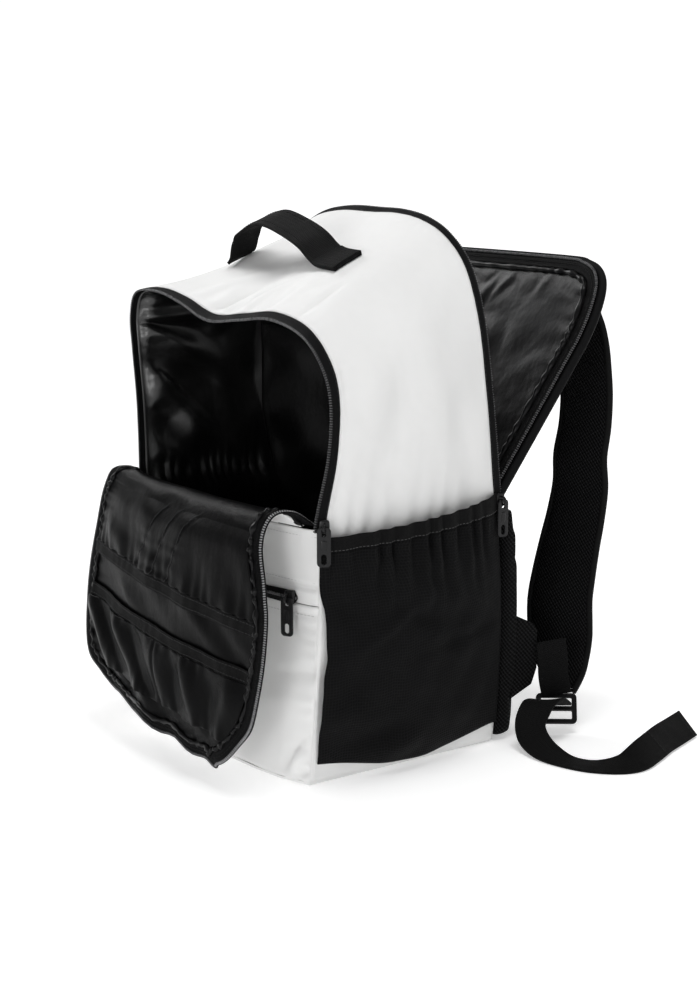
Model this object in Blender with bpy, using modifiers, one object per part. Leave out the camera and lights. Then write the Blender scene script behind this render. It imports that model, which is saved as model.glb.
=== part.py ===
"""School backpack standing open: white polyester body, black lining, pockets, straps and zips.

The front flap is folded down, the padded rear panel leans back, and the straps hang behind.
Metres, +Z up, X to the right seen from the front, Y to the back. The origin is the centre of the
underside, on the floor.
"""
import math

import bmesh
import bpy
import numpy as np
from mathutils import Matrix, Vector

# Body
BODY_WIDTH = 0.250
BODY_DEPTH = 0.180
HINGE_HEIGHT = 0.205
FRONT_TOP = 0.364
REAR_TOP = 0.426
BASE_THICKNESS = 0.002
CLOTH = 0.0015
LINING = 0.001
GAP = 0.0005
LINING_SLACK = 0.007
DIVIDER_PLACE = 0.76
DIVIDER_TOP = 0.330
DIVIDER_WIDTH_SHARE = 1.000

# Zip tapes
TAPE_WIDTH = 0.0095
TAPE_THICKNESS = 0.0012

# Lower front with its pocket
FRONT_BOW = 0.012
FRONT_BOW_POWER = 4
POCKET_ZIP_HEIGHT = 0.148
POCKET_ZIP_WIDTH = 0.009
POCKET_ZIP_HALF = 0.108
POCKET_SLIDER_SHARE = 0.835
POCKET_SLIDER_LIFT = 0.16

# Front flap
FLAP_REACH = 0.050
FLAP_CROWN = 0.012
FLAP_CROWN_FROM = 0.35
FLAP_SKEW = 0.052
FLAP_SKEW_FROM = 0.10
FLAP_SKEW_OVER = 0.25
PEN_POCKET_TOP = 0.16
FLAP_POCKET_END = 0.85
FLAP_POCKET_STANDOFF = 0.0012
PEN_HEM_PLACE = 0.432
FLAP_HEM_PLACE = 0.590
FLAP_HEM_WIDTH = 0.011
HEM_THICKNESS = 0.0012

# Rear panel
REAR_LEAN = 30.0
REAR_PANEL_LENGTH = 0.213
REAR_PANEL_PAD = 0.014
LOWER_BACK_PAD = 0.022
LOWER_BACK_CROWN = 0.003

# Side pockets
POCKET_CLOTH = 0.001
POCKET_BOTTOM = 0.018
POCKET_TOP_FRONT = 0.186
POCKET_TOP_REAR = 0.197
POCKET_HEM_WIDTH = 0.011
POCKET_BULGE = 0.015
POCKET_MOUTH = 0.0100
GATHER_COUNT = 11
GATHER_DEPTH = 0.0022

# Straps and webbing
STRAP_WIDTH = 0.060
STRAP_THICKNESS = 0.010
WEBBING_WIDTH = 0.025
WEBBING_THICKNESS = 0.0016
HANDLE_WIDTH = 0.028
HANDLE_HEIGHT = 0.035
HANDLE_TURNS = (-0.14, 0.34)
HANDLE_THICKNESS = 0.0025
WING_THICKNESS = 0.006
WING_LENGTH = 0.022
WING_HEIGHT = 0.072
WING_LOW = 0.034

# Ladder lock
LOCK_WIDTH = 0.034
LOCK_LENGTH = 0.026
LOCK_THICKNESS = 0.004
LOCK_BAR = 0.0042
LOCK_PLACE = (1.004, 1.683, 0.095)
LOCK_HEADING = 52.0
LOCK_TILT = 28.0

# Zip sliders and pullers
SLIDER_WIDTH = 0.008
SLIDER_LENGTH = 0.012
SLIDER_THICKNESS = 0.0035
BRIDGE_RADIUS = 0.0031
BRIDGE_WIRE = 0.0008
FRONT_SLIDER_OUT = 0.0018
PIVOT_HEIGHT = 0.0022
PULLER_WIDTH = 0.0105
PULLER_LENGTH = 0.0300
PULLER_THICKNESS = 0.0016
PULLER_BAR = 0.0018
PULLER_RIM = 0.0022
PULLER_SLOT_LENGTH = 0.0048
PULLER_SLOT_WIDTH = 0.0030
PULLER_HOLE_LENGTH = 0.0075
PULLER_HOLE_WIDTH = 0.0039

# The openings' outlines, from the left floor corner over the top to the right floor corner.
# Across is a share of half the body's width. Up is 0 at the floor, 1 at the hinge, 2 at the top.
# Fore and back are shares of half the depth. Puff is the outward swell between them, in depths.
ARCH_ROWS = np.array([
    # front_across, front_up, front_fore, rear_across, rear_up, rear_back, puff
    (-0.904, 0.000, 1.000, -0.912, 0.000, 1.000, 0.000),
    (-0.952, 0.340, 1.000, -0.944, 0.340, 1.000, 0.015),
    (-0.984, 0.640, 1.000, -0.960, 0.640, 0.990, 0.020),
    (-1.000, 1.000, 0.980, -0.984, 1.000, 0.880, 0.020),
    (-1.110, 1.377, 0.910, -1.032, 1.293, 0.760, 0.030),
    (-1.180, 1.673, 0.894, -1.048, 1.563, 0.650, 0.020),
    (-1.190, 1.849, 0.894, -1.008, 1.743, 0.630, -0.010),
    (-1.104, 1.975, 0.894, -0.896, 1.887, 0.620, -0.040),
    (-0.840, 2.000, 0.894, -0.680, 1.968, 0.620, -0.030),
    (-0.560, 1.969, 0.894, -0.360, 2.000, 0.620, -0.010),
    (-0.230, 1.905, 0.894, 0.000, 2.000, 0.620, 0.005),
    (0.120, 1.930, 0.894, 0.240, 2.000, 0.620, 0.020),
    (0.460, 1.955, 0.894, 0.480, 1.982, 0.620, 0.030),
    (0.794, 1.900, 0.894, 0.704, 1.932, 0.620, 0.035),
    (1.002, 1.765, 0.894, 0.896, 1.832, 0.628, 0.030),
    (1.090, 1.590, 0.894, 1.010, 1.670, 0.645, 0.030),
    (1.085, 1.333, 0.910, 1.040, 1.428, 0.710, 0.035),
    (1.030, 1.000, 0.980, 1.000, 1.000, 0.870, 0.025),
    (0.992, 0.640, 1.000, 0.968, 0.640, 0.980, 0.020),
    (0.960, 0.340, 1.000, 0.952, 0.340, 1.000, 0.015),
    (0.904, 0.000, 1.000, 0.912, 0.000, 1.000, 0.000),
])
ARCH_HINGE_LEFT = 3
ARCH_HINGE_RIGHT = 17

# The slack folds of the lining: where they lie on the skin, their reach, and how far they stand in.
LINING_FOLD_ROWS = np.array([
    # station, back, length, width, depth, slant
    (4.6, 0.17, 1.3, 0.08, 1.0, 0.10),
    (5.6, 0.37, 0.9, 0.09, 0.8, -0.12),
    (3.6, 0.50, 0.8, 0.10, 0.5, 0.05),
    (15.6, 0.27, 1.2, 0.10, 0.7, -0.06),
])

# The flap's path from the hinge over the roll and down: out in shares of its reach, up in shares
# of the hinge's height.
FLAP_PATH_ROWS = np.array([
    # out, up
    (0.010, 1.000),
    (0.280, 1.051),
    (0.560, 1.044),
    (0.760, 0.966),
    (0.880, 0.829),
    (0.980, 0.634),
    (1.000, 0.439),
    (0.980, 0.244),
    (0.920, 0.059),
])

# The flap's outline in pairs: across in shares of half the body's width, down in shares of the path.
FLAP_OUTLINE_ROWS = np.array([
    # left_across, left_down, right_across, right_down
    (-0.975, 0.000, 0.975, 0.000),
    (-1.010, 0.080, 0.930, 0.080),
    (-1.060, 0.140, 0.890, 0.140),
    (-1.050, 0.220, 0.900, 0.220),
    (-1.056, 0.360, 0.976, 0.330),
    (-1.100, 0.530, 1.016, 0.440),
    (-1.144, 0.730, 0.980, 0.600),
    (-1.104, 0.855, 0.880, 0.770),
    (-0.976, 0.915, 0.736, 0.870),
    (-0.800, 0.940, 0.592, 0.940),
    (-0.600, 0.948, 0.416, 0.970),
])

# The rear panel's half outline: across in shares of half the body's width, up in shares of its length.
REAR_OUTLINE_ROWS = np.array([
    # across, up
    (0.965, 0.015),
    (1.035, 0.280),
    (1.105, 0.550),
    (1.140, 0.720),
    (1.110, 0.870),
    (1.030, 0.950),
    (0.890, 0.988),
    (0.640, 1.000),
])

# The lower back's padding, as a share of its full depth, from its bottom up.
LOWER_BACK_ROWS = np.array([
    # up, share
    (0.00, 0.80),
    (0.12, 1.00),
    (0.55, 1.00),
    (0.75, 0.85),
    (0.90, 0.58),
    (1.00, 0.35),
])

# The shoulder strap's middle line, its heading across, and its width there. Across is a share of
# half the body's width, behind of half its depth from the back's face, and up of the hinge's height.
STRAP_ROWS = np.array([
    # across, behind, up, across_heading, width_share
    (0.560, 0.134, 1.785, 0.0, 0.88),
    (0.596, 0.231, 1.727, 1.0, 0.92),
    (0.632, 0.331, 1.668, 3.0, 0.94),
    (0.672, 0.432, 1.600, 5.0, 0.94),
    (0.748, 0.594, 1.463, 8.0, 0.92),
    (0.788, 0.876, 1.220, 11.0, 0.90),
    (0.796, 0.944, 0.976, 15.0, 0.92),
    (0.776, 0.850, 0.732, 20.0, 0.96),
    (0.780, 0.739, 0.512, 28.0, 0.98),
    (0.840, 0.683, 0.356, 38.0, 0.92),
    (0.904, 0.628, 0.244, 47.0, 0.72),
    (0.958, 0.516, 0.165, 52.0, 0.52),
])

# The webbing from the wing to the lock, then the free tail. Across, back and up are shares of half
# the body's width, half its depth and the hinge's height. The direction across the band is a heading
# round Z and a lift above the floor.
LOWER_WEBBING_ROWS = np.array([
    # across, back, up, across_heading, across_lift
    (1.016, 1.578, 0.390, 60.0, -42.0),
    (1.026, 1.594, 0.322, 56.0, -30.0),
    (1.010, 1.631, 0.234, 52.0, -10.0),
    (1.000, 1.687, 0.155, 52.0, 0.0),
])
TAIL_ROWS = np.array([
    # across, back, up, across_heading, across_lift
    (1.015, 1.666, 0.115, 52.0, 0.0),
    (1.076, 1.578, 0.137, 52.0, 0.0),
    (1.112, 1.433, 0.166, 52.0, 3.0),
    (1.136, 1.278, 0.156, 52.0, 6.0),
    (1.152, 1.178, 0.102, 52.0, 8.0),
    (1.216, 1.133, 0.054, 56.0, 10.0),
    (1.360, 1.100, 0.024, 75.0, 8.0),
    (1.536, 1.133, 0.007, 100.0, 0.0),
    (1.728, 1.244, 0.010, 125.0, 4.0),
    (1.848, 1.467, 0.024, 165.0, 18.0),
    (1.808, 1.756, 0.044, 197.0, 38.0),
    (1.728, 2.044, 0.051, 203.0, 47.0),
    (1.656, 2.322, 0.051, 203.0, 47.0),
    (1.592, 2.567, 0.051, 203.0, 47.0),
])

# The grab handle's middle line over the top: across and back are shares of half the body's width and
# depth, and rise is a share of the handle's height above the cloth.
HANDLE_ROWS = np.array([
    # across, back, rise
    (-0.648, -0.222, 0.123),
    (-0.626, -0.222, 0.350),
    (-0.572, -0.222, 0.607),
    (-0.418, -0.222, 0.863),
    (-0.267, -0.222, 1.000),
    (-0.066, -0.222, 0.855),
    (0.130, -0.222, 0.504),
    (0.264, -0.222, 0.165),
    (0.352, -0.222, 0.020),
    (0.523, -0.222, 0.000),
])


# Helpers

def through(rows, steps):
    """A Catmull-Rom curve through every row, with the same number of steps between rows."""
    rows = np.asarray(rows, float)
    ends = np.vstack([2 * rows[0] - rows[1], rows, 2 * rows[-1] - rows[-2]])
    t = (np.arange(steps) / steps)[:, None]
    pieces = []
    for k in range(len(rows) - 1):
        before, start, end, after = ends[k:k + 4]
        bend = (2 * before - 5 * start + 4 * end - after) * t ** 2
        turn = (3 * start - before - 3 * end + after) * t ** 3
        pieces.append(0.5 * (2 * start + (end - before) * t + bend + turn))
    pieces.append(rows[-1:])
    return np.vstack(pieces)


def unit(vectors):
    """The vectors at length one."""
    return vectors / np.maximum(np.linalg.norm(vectors, axis=-1, keepdims=True), 1e-12)


def lifted(grid, distance):
    """The grid moved along its own normals by a distance, which may vary over it."""
    along = np.gradient(grid, axis=0)
    across = np.gradient(grid, axis=1)
    normals = unit(np.cross(along, across))
    return grid + normals * np.asarray(distance, float)[..., None]


def material(name, colour, roughness, metallic=0.0):
    """A plain Principled material, made once."""
    found = bpy.data.materials.get(name)
    if found:
        return found
    made = bpy.data.materials.new(name)
    made.use_nodes = True
    shader = made.node_tree.nodes["Principled BSDF"]
    shader.inputs["Base Color"].default_value = (*colour, 1.0)
    shader.inputs["Roughness"].default_value = roughness
    shader.inputs["Metallic"].default_value = metallic
    made.diffuse_color = (*colour, 1.0)
    return made


def white_cloth():
    return material("white_cloth", (0.86, 0.86, 0.85), 0.75)


def black_satin():
    return material("black_satin", (0.020, 0.020, 0.022), 0.38)


def black_mesh_cloth():
    return material("black_mesh_cloth", (0.016, 0.016, 0.017), 0.85)


def black_webbing():
    return material("black_webbing", (0.022, 0.022, 0.023), 0.70)


def zip_cloth():
    return material("zip_cloth", (0.025, 0.025, 0.026), 0.65)


def black_metal():
    return material("black_metal", (0.030, 0.030, 0.032), 0.28, 0.8)


def black_plastic():
    return material("black_plastic", (0.020, 0.020, 0.021), 0.35)


def add_object(name, mesh, finish, collection):
    """A named object for a mesh, with its material."""
    mesh.materials.clear()
    mesh.materials.append(finish)
    made = bpy.data.objects.new(name, mesh)
    collection.objects.link(made)
    return made


def sheet(name, grid, thickness, finish, side=1.0, shares=None):
    """An open loft over a grid of points, given its wall by Solidify on the grid's normal side.

    Shares, one for each point, thin the wall where they are below one.
    """
    rows, columns = grid.shape[:2]
    index = np.arange(rows * columns).reshape(rows, columns)
    corners = (index[:-1, :-1], index[1:, :-1], index[1:, 1:], index[:-1, 1:])
    faces = np.stack([corner.ravel() for corner in corners], axis=1)
    mesh = bpy.data.meshes.new(name)
    mesh.from_pydata(grid.reshape(-1, 3).tolist(), [], faces.tolist())
    mesh.update()
    made = add_object(name, mesh, finish, PARTS)
    wall = made.modifiers.new("wall", "SOLIDIFY")
    wall.thickness = thickness
    wall.offset = side
    if shares is not None:
        group = made.vertex_groups.new(name="wall_share")
        for number, share in enumerate(np.ravel(shares).tolist()):
            group.add([number], share, "REPLACE")
        wall.vertex_group = group.name
    mesh.shade_smooth()
    return made


def band(name, path, across, width, thickness, finish, columns=2):
    """A strap along a path: its cross direction and width are given at every point."""
    tangent = unit(np.gradient(path, axis=0))
    across = unit(across - tangent * np.sum(across * tangent, axis=1, keepdims=True))
    share = np.linspace(-0.5, 0.5, columns)
    width = np.broadcast_to(np.asarray(width, float), len(path))
    grid = path[:, None, :] + across[:, None, :] * (share[None, :] * width[:, None])[..., None]
    return sheet(name, grid, thickness, finish, 0.0)


def across_from(heading, lift):
    """Unit directions from a heading round Z and a lift, both in degrees."""
    turn = np.radians(heading)
    rise = np.radians(lift)
    return np.stack([np.cos(turn) * np.cos(rise), np.sin(turn) * np.cos(rise), np.sin(rise)], axis=-1)


def mirrored(points):
    """The same points on the other side of the bag."""
    return points * np.array([-1.0, 1.0, 1.0])


# The bag's skin

def height(up, top):
    """A height from an up share: 0 floor, 1 hinge, 2 top."""
    floor = BASE_THICKNESS + GAP
    low = floor + (HINGE_HEIGHT - floor) * np.minimum(up, 1.0)
    return low + (top - HINGE_HEIGHT) * np.maximum(up - 1.0, 0.0)


def skin_curves():
    """The front edge, the rear edge, and the outward push between them, finely sampled."""
    fine = through(ARCH_ROWS, 8)
    half = BODY_WIDTH / 2
    front_y = -fine[:, 2] * BODY_DEPTH / 2
    front = np.stack([fine[:, 0] * half, front_y, height(fine[:, 1], FRONT_TOP)], axis=1)
    rear_y = fine[:, 5] * BODY_DEPTH / 2
    rear = np.stack([fine[:, 3] * half, rear_y, height(fine[:, 4], REAR_TOP)], axis=1)
    run = np.gradient((front + rear) / 2, axis=0)
    outward = unit(np.stack([-run[:, 2], np.zeros(len(run)), run[:, 0]], axis=1))
    return front, rear, outward * (fine[:, 6] * BODY_DEPTH)[:, None]


def skin(station, back):
    """The bag's inner skin at arch stations, from the front edge (back 0) to the rear edge (1)."""
    front, rear, puff = skin_curves()
    stations = np.linspace(0, len(ARCH_ROWS) - 1, len(front))
    station, back = np.broadcast_arrays(np.asarray(station, float), np.asarray(back, float))

    def read(curve):
        return np.stack([np.interp(station, stations, curve[:, k]) for k in range(3)], axis=-1)

    share = back[..., None]
    return read(front) * (1 - share) + read(rear) * share + read(puff) * 4 * share * (1 - share)


def side_station(level, left=False, edge=0):
    """The arch station on one side where the front edge (0) or the rear edge (1) has this height."""
    curve = skin_curves()[edge]
    stations = np.linspace(0, len(ARCH_ROWS) - 1, len(curve))
    if left:
        low = stations <= ARCH_HINGE_LEFT + 1
        return np.interp(level, curve[low, 2], stations[low])
    low = stations >= ARCH_HINGE_RIGHT - 1
    return np.interp(level, curve[low, 2][::-1], stations[low][::-1])


def top_height(x, y):
    """The height of the top surface above a place."""
    station = np.linspace(ARCH_HINGE_LEFT + 4, ARCH_HINGE_RIGHT - 3, 400)
    back = np.linspace(0, 1, 200)
    points = skin(station[:, None], back[None, :]).reshape(-1, 3)
    near = np.argmin((points[:, 0] - x) ** 2 + (points[:, 1] - y) ** 2)
    return points[near, 2] + CLOTH


def grid_of(stations, backs):
    """A grid of skin points over stations and depths."""
    return skin(np.asarray(stations)[:, None], np.asarray(backs)[None, :])


# Body pieces

def base_panel():
    """The flat underside, with the body's plan: bowed at the front, square at the back."""
    front = front_wall(np.array([BASE_THICKNESS + GAP]), 9)[:, 0]
    back = BODY_DEPTH / 2 - GAP
    outline = [(x, y - CLOTH) for x, y in front[:, :2]]
    outline += [(front[-1, 0], back), (front[0, 0], back)]
    mesh = flat_outline("base_panel", [outline], BASE_THICKNESS)
    mesh.transform(Matrix.Translation((0, 0, BASE_THICKNESS / 2)))
    add_object("base_panel", mesh, white_cloth(), PARTS)


def gusset():
    """The white band of both sides and the top."""
    stations = np.linspace(0, len(ARCH_ROWS) - 1, 2 * (len(ARCH_ROWS) - 1) + 1)
    sheet("gusset", grid_of(stations, np.linspace(0, 1, 8)), CLOTH, white_cloth())


def lining():
    """The satin inside the gusset, with the big slack folds of its walls pushed inwards."""
    stations = np.linspace(0, len(ARCH_ROWS) - 1, 2 * (len(ARCH_ROWS) - 1) + 1)
    backs = np.array([0.01, 0.08, 0.17, 0.27, 0.37, 0.50, 0.65, 0.82, 0.985])
    inward = np.full((len(stations), len(backs)), 2 * GAP)
    for station, back, length, width, depth, slant in LINING_FOLD_ROWS:
        along = (stations[:, None] - station) / length
        beside = (backs[None, :] - back - slant * along) / width
        inward = inward + LINING_SLACK * depth * np.exp(-along ** 2 - beside ** 2)
    sheet("lining", lifted(grid_of(stations, backs), -inward), LINING, black_satin(), -1.0)


def divider():
    """The wall between the front compartment and the laptop compartment."""
    inset = LINING + 4 * GAP
    levels = np.linspace(BASE_THICKNESS + 2 * GAP, DIVIDER_TOP, 9)
    right = skin(side_station(levels), DIVIDER_PLACE)
    left = skin(side_station(levels, True), DIVIDER_PLACE)
    reach = BODY_WIDTH / 2 * DIVIDER_WIDTH_SHARE
    ends = np.stack([np.maximum(left[:, 0] + inset, -reach), np.minimum(right[:, 0] - inset, reach)])
    share = np.linspace(0, 1, 5)[:, None]
    grid = np.stack([
        ends[0] * (1 - share) + ends[1] * share,
        np.broadcast_to(right[:, 1], (len(share), len(levels))),
        np.broadcast_to(levels, (len(share), len(levels))),
    ], axis=-1)
    sheet("divider", grid, CLOTH, black_satin())


def front_wall(levels, columns, half_share=1.0):
    """A grid on the lower front wall, bowed forward between the two front corners."""
    corner = skin(side_station(levels), 0.0)
    share = np.linspace(-1, 1, columns) * half_share
    x = share[:, None] * (corner[None, :, 0] - GAP)
    bow = FRONT_BOW * (1 - np.abs(share) ** FRONT_BOW_POWER)
    y = np.broadcast_to(-BODY_DEPTH / 2 - GAP - bow[:, None], x.shape)
    z = np.broadcast_to(levels, x.shape)
    return np.stack([x, y, z], axis=-1)


def lower_front():
    """The white lower front: pocket panel, top strip, and the pocket's zip over their seam."""
    floor = BASE_THICKNESS + GAP
    seam = POCKET_ZIP_HEIGHT - POCKET_ZIP_WIDTH / 2
    top = HINGE_HEIGHT - CLOTH - LINING - GAP
    sheet("front_pocket_panel", front_wall(np.linspace(floor, seam, 7), 11), CLOTH, white_cloth())
    sheet("front_top_strip", front_wall(np.linspace(seam + GAP, top, 4), 11), CLOTH, white_cloth())
    levels = np.array([seam, POCKET_ZIP_HEIGHT, POCKET_ZIP_HEIGHT + POCKET_ZIP_WIDTH / 2])
    reach = POCKET_ZIP_HALF / (BODY_WIDTH / 2)
    tape = front_wall(levels, 11, reach)
    point = POCKET_ZIP_WIDTH / 2 / POCKET_ZIP_HALF
    tape[:, 0, 0] *= 1 - point
    tape[:, 2, 0] *= 1 - point
    tape = lifted(tape, np.full(tape.shape[:2], CLOTH + 3 * GAP))
    sheet("pocket_zip_tape", tape, TAPE_THICKNESS, zip_cloth())


def body_tapes():
    """The zip tapes that carry on the gusset round both openings."""
    start = HINGE_HEIGHT + SLIDER_LENGTH / 2 + GAP
    count = 2 * (ARCH_HINGE_RIGHT - ARCH_HINGE_LEFT) + 1
    reach = TAPE_WIDTH / BODY_DEPTH
    margin = GAP / BODY_DEPTH
    for name, edge, backs in (
        ("front_body_tape", 0, [-reach, -margin]),
        ("rear_body_tape", 1, [1 + margin, 1 + reach]),
    ):
        stations = np.linspace(side_station(start, True, edge), side_station(start, False, edge), count)
        sheet(name, grid_of(stations, backs), TAPE_THICKNESS, zip_cloth())


# Front flap

def flap_place(across, down):
    """A point of the flap's face from its place across (shares) and down the path (shares)."""
    path = through(FLAP_PATH_ROWS, 8)
    y = -BODY_DEPTH / 2 - GAP - FLAP_REACH * path[:, 0]
    z = HINGE_HEIGHT * path[:, 1]
    run = np.concatenate([[0.0], np.cumsum(np.hypot(np.diff(y), np.diff(z)))])
    run = run / run[-1]
    settled = np.clip((down - FLAP_SKEW_FROM) / FLAP_SKEW_OVER, 0, 1)
    along = down + FLAP_SKEW * across * settled
    place = np.stack([
        across * BODY_WIDTH / 2,
        np.interp(along, run, y),
        np.interp(along, run, z) - np.maximum(along - 1.0, 0.0) * HINGE_HEIGHT,
    ], axis=-1)
    inner = np.clip(across, -1, 1)
    bow = FRONT_BOW * (1 - np.abs(inner) ** FRONT_BOW_POWER)
    settled = np.clip(down / FLAP_CROWN_FROM, 0, 1)
    place[..., 1] -= bow * (1 - settled) + FLAP_CROWN * np.cos(inner * math.pi / 2) * settled
    return place


def flap_length():
    """The length of the flap's path from the hinge to its free edge."""
    path = through(FLAP_PATH_ROWS, 8)
    return float(np.sum(np.hypot(np.diff(FLAP_REACH * path[:, 0]), np.diff(HINGE_HEIGHT * path[:, 1]))))


def inset(outline, distance, scale):
    """An open outline moved inwards in its own flat sheet, whose shares have the given lengths."""
    flat = outline * scale
    run = unit(np.gradient(flat, axis=0))
    inward = np.stack([-run[:, 1], run[:, 0]], axis=1)
    centre = flat.mean(axis=0)
    inward = inward * np.sign(np.sum(inward * (centre - flat), axis=1, keepdims=True))
    return (flat + inward * distance) / scale


def flap_outline(distance, steps):
    """The flap's outline, moved in by a distance, from the left hinge round to the right hinge."""
    left = FLAP_OUTLINE_ROWS[:, 0:2]
    right = FLAP_OUTLINE_ROWS[::-1, 2:4]
    outline = through(np.vstack([left, right]), steps)
    scale = np.array([BODY_WIDTH / 2, flap_length()])
    return inset(outline, distance, scale) if distance else outline


def flap_panel(distance, columns, steps=1):
    """A grid over the flap inside its outline, from the hinge down."""
    outline = flap_outline(distance, steps)
    count = len(outline) // 2
    left = outline[:count]
    right = outline[::-1][:count]
    share = np.linspace(0, 1, columns)
    across = left[:, None, 0] * (1 - share) + right[:, None, 0] * share
    down = left[:, None, 1] * (1 - share) + right[:, None, 1] * share
    return flap_place(across, down)


def flap_sides(down, distance):
    """The flap's left and right limits at a place down the path."""
    outline = flap_outline(distance, 4)
    count = len(outline) // 2
    left = np.interp(down, outline[:count, 1], outline[:count, 0])
    right = np.interp(down, outline[::-1][:count, 1], outline[::-1][:count, 0])
    return left, right


def flap_band(low, high, rows, columns, distance, lift):
    """A grid across the flap between two places down it, lifted off its lining."""
    down = np.linspace(low, high, rows)
    left, right = flap_sides(down, distance)
    share = np.linspace(0, 1, columns)
    across = left[:, None] * (1 - share) + right[:, None] * share
    grid = flap_place(across, np.broadcast_to(down[:, None], across.shape))
    return lifted(grid, np.full(across.shape, lift))


def front_flap():
    """The folded-down flap: white shell behind, satin in front, tape round it, pockets on it."""
    edge = TAPE_WIDTH + 2 * GAP
    panel = flap_panel(edge, 11)
    sheet("front_flap_lining", panel, LINING, black_satin(), -1.0)
    behind = lifted(panel, np.full(panel.shape[:2], -LINING - GAP))
    sheet("front_flap_shell", behind, CLOTH, white_cloth(), -1.0)
    outer = flap_outline(0.0, 1)
    inner = flap_outline(TAPE_WIDTH, 1)
    tape = np.stack([flap_place(outer[:, 0], outer[:, 1]), flap_place(inner[:, 0], inner[:, 1])], axis=1)
    sheet("front_flap_tape", tape[:, ::-1], TAPE_THICKNESS, zip_cloth(), 0.0)

    margin = edge + 2 * GAP
    step = FLAP_HEM_WIDTH / flap_length()
    lift = FLAP_POCKET_STANDOFF
    top = flap_band(PEN_POCKET_TOP, PEN_HEM_PLACE - GAP / flap_length(), 5, 9, margin, lift)
    sheet("pen_pocket", top, LINING, black_satin())
    hem = flap_band(PEN_HEM_PLACE, PEN_HEM_PLACE + step, 2, 9, margin, lift)
    sheet("pen_pocket_hem", hem, HEM_THICKNESS, black_satin())
    hem = flap_band(FLAP_HEM_PLACE, FLAP_HEM_PLACE + step, 2, 9, margin, lift)
    sheet("flap_pocket_hem", hem, HEM_THICKNESS, black_satin())
    low = flap_band(FLAP_HEM_PLACE + step + GAP / flap_length(), FLAP_POCKET_END, 4, 9, margin, lift)
    sheet("flap_pocket", low, LINING, black_satin())


# Rear

def rear_place(across, up, depth):
    """A point of the leaning rear panel: across and up are lengths, depth is behind its face."""
    lean = math.radians(REAR_LEAN)
    hinge = skin(ARCH_HINGE_RIGHT, 1.0)
    y = hinge[1] + TAPE_WIDTH * 0.1 + up * math.sin(lean) + depth * math.cos(lean)
    z = hinge[2] + up * math.cos(lean) - depth * math.sin(lean)
    return np.stack([across, y, z], axis=-1)


def rear_outline(distance, steps):
    """The rear panel's outline from the right hinge over its top to the left hinge, in lengths."""
    half = REAR_OUTLINE_ROWS * np.array([BODY_WIDTH / 2, REAR_PANEL_LENGTH])
    other = half[::-1] * np.array([-1.0, 1.0])
    outline = through(np.vstack([half, other]), steps)
    return inset(outline, distance, np.array([1.0, 1.0])) if distance else outline


def rear_panel_grid(distance, columns, depth):
    """A grid over the rear panel inside its outline, from the hinge up."""
    outline = rear_outline(distance, 1)
    count = len(outline) // 2
    right = outline[:count]
    left = outline[::-1][:count]
    share = np.linspace(0, 1, columns)
    across = left[:, None, 0] * (1 - share) + right[:, None, 0] * share
    up = left[:, None, 1] * (1 - share) + right[:, None, 1] * share
    return rear_place(across, up, depth)


def rear_panel():
    """The padded panel that leans back, its satin face and its zip tape."""
    edge = TAPE_WIDTH + 2 * GAP
    face = rear_panel_grid(edge, 9, 0.0)
    sheet("rear_panel_lining", face, LINING, black_satin())
    back = rear_panel_grid(edge * 0.5, 9, LINING + GAP)
    sheet("rear_panel", back, REAR_PANEL_PAD, black_mesh_cloth())
    outer = rear_outline(0.0, 1)
    inner = rear_outline(TAPE_WIDTH, 1)
    depth = LINING - TAPE_THICKNESS
    tape = np.stack([
        rear_place(outer[:, 0], outer[:, 1], depth),
        rear_place(inner[:, 0], inner[:, 1], depth),
    ], axis=1)
    sheet("rear_panel_tape", tape[:, ::-1], TAPE_THICKNESS, zip_cloth())


def lower_back_panel():
    """The fixed padded back below the leaning panel, thinner towards its top."""
    lean = math.radians(REAR_LEAN)
    top = HINGE_HEIGHT - (REAR_PANEL_PAD + LINING + GAP) * math.sin(lean) - 2 * GAP
    levels = np.linspace(BASE_THICKNESS + GAP, top, 8)
    share = np.linspace(-1, 1, 9)
    corner = skin(side_station(levels), 1.0)
    x = share[:, None] * (corner[None, :, 0] + CLOTH)
    y = np.full(x.shape, BODY_DEPTH / 2 + GAP)
    grid = np.stack([x, y, np.broadcast_to(levels, x.shape)], axis=-1)
    up = np.linspace(0, 1, len(levels))
    pad = LOWER_BACK_PAD * np.interp(up, LOWER_BACK_ROWS[:, 0], LOWER_BACK_ROWS[:, 1])
    full = LOWER_BACK_PAD + LOWER_BACK_CROWN
    swell = LOWER_BACK_CROWN * (1 - share[:, None] ** 2) * np.sin(math.pi * up)
    sheet("lower_back_panel", grid[::-1], full, black_mesh_cloth(), 1.0, ((pad + swell) / full)[::-1])


# Side pockets

def pocket_grid(low_share, high_share, rows, columns, left):
    """A grid on a side pocket's cloth: rows from the bottom up, columns from front to back."""
    down = np.linspace(low_share, high_share, rows)[:, None]
    back = np.linspace(0.015, 0.985, columns)[None, :]
    top = POCKET_TOP_FRONT + (POCKET_TOP_REAR - POCKET_TOP_FRONT) * back
    level = POCKET_BOTTOM + (top - POCKET_BOTTOM) * down
    grid = skin(side_station(level, left), np.broadcast_to(back, level.shape))
    belly = np.sin(math.pi * back) ** 0.6 * np.sin(math.pi * np.clip(down, 0, 1) ** 0.8) * POCKET_BULGE
    mouth = np.sin(math.pi * back) ** 0.5 * np.clip(down, 0, 1) ** 2 * POCKET_MOUTH
    near_top = np.exp(-(np.maximum(1.0 - down, 0.0) / 0.22) ** 2)
    ends = np.sin(math.pi * back) ** 0.5
    gathers = GATHER_DEPTH * np.sin(2 * math.pi * GATHER_COUNT * back) * near_top * ends
    out = CLOTH + 2 * GAP + belly + mouth + gathers
    grid[..., 0] += -out if left else out
    return grid


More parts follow.
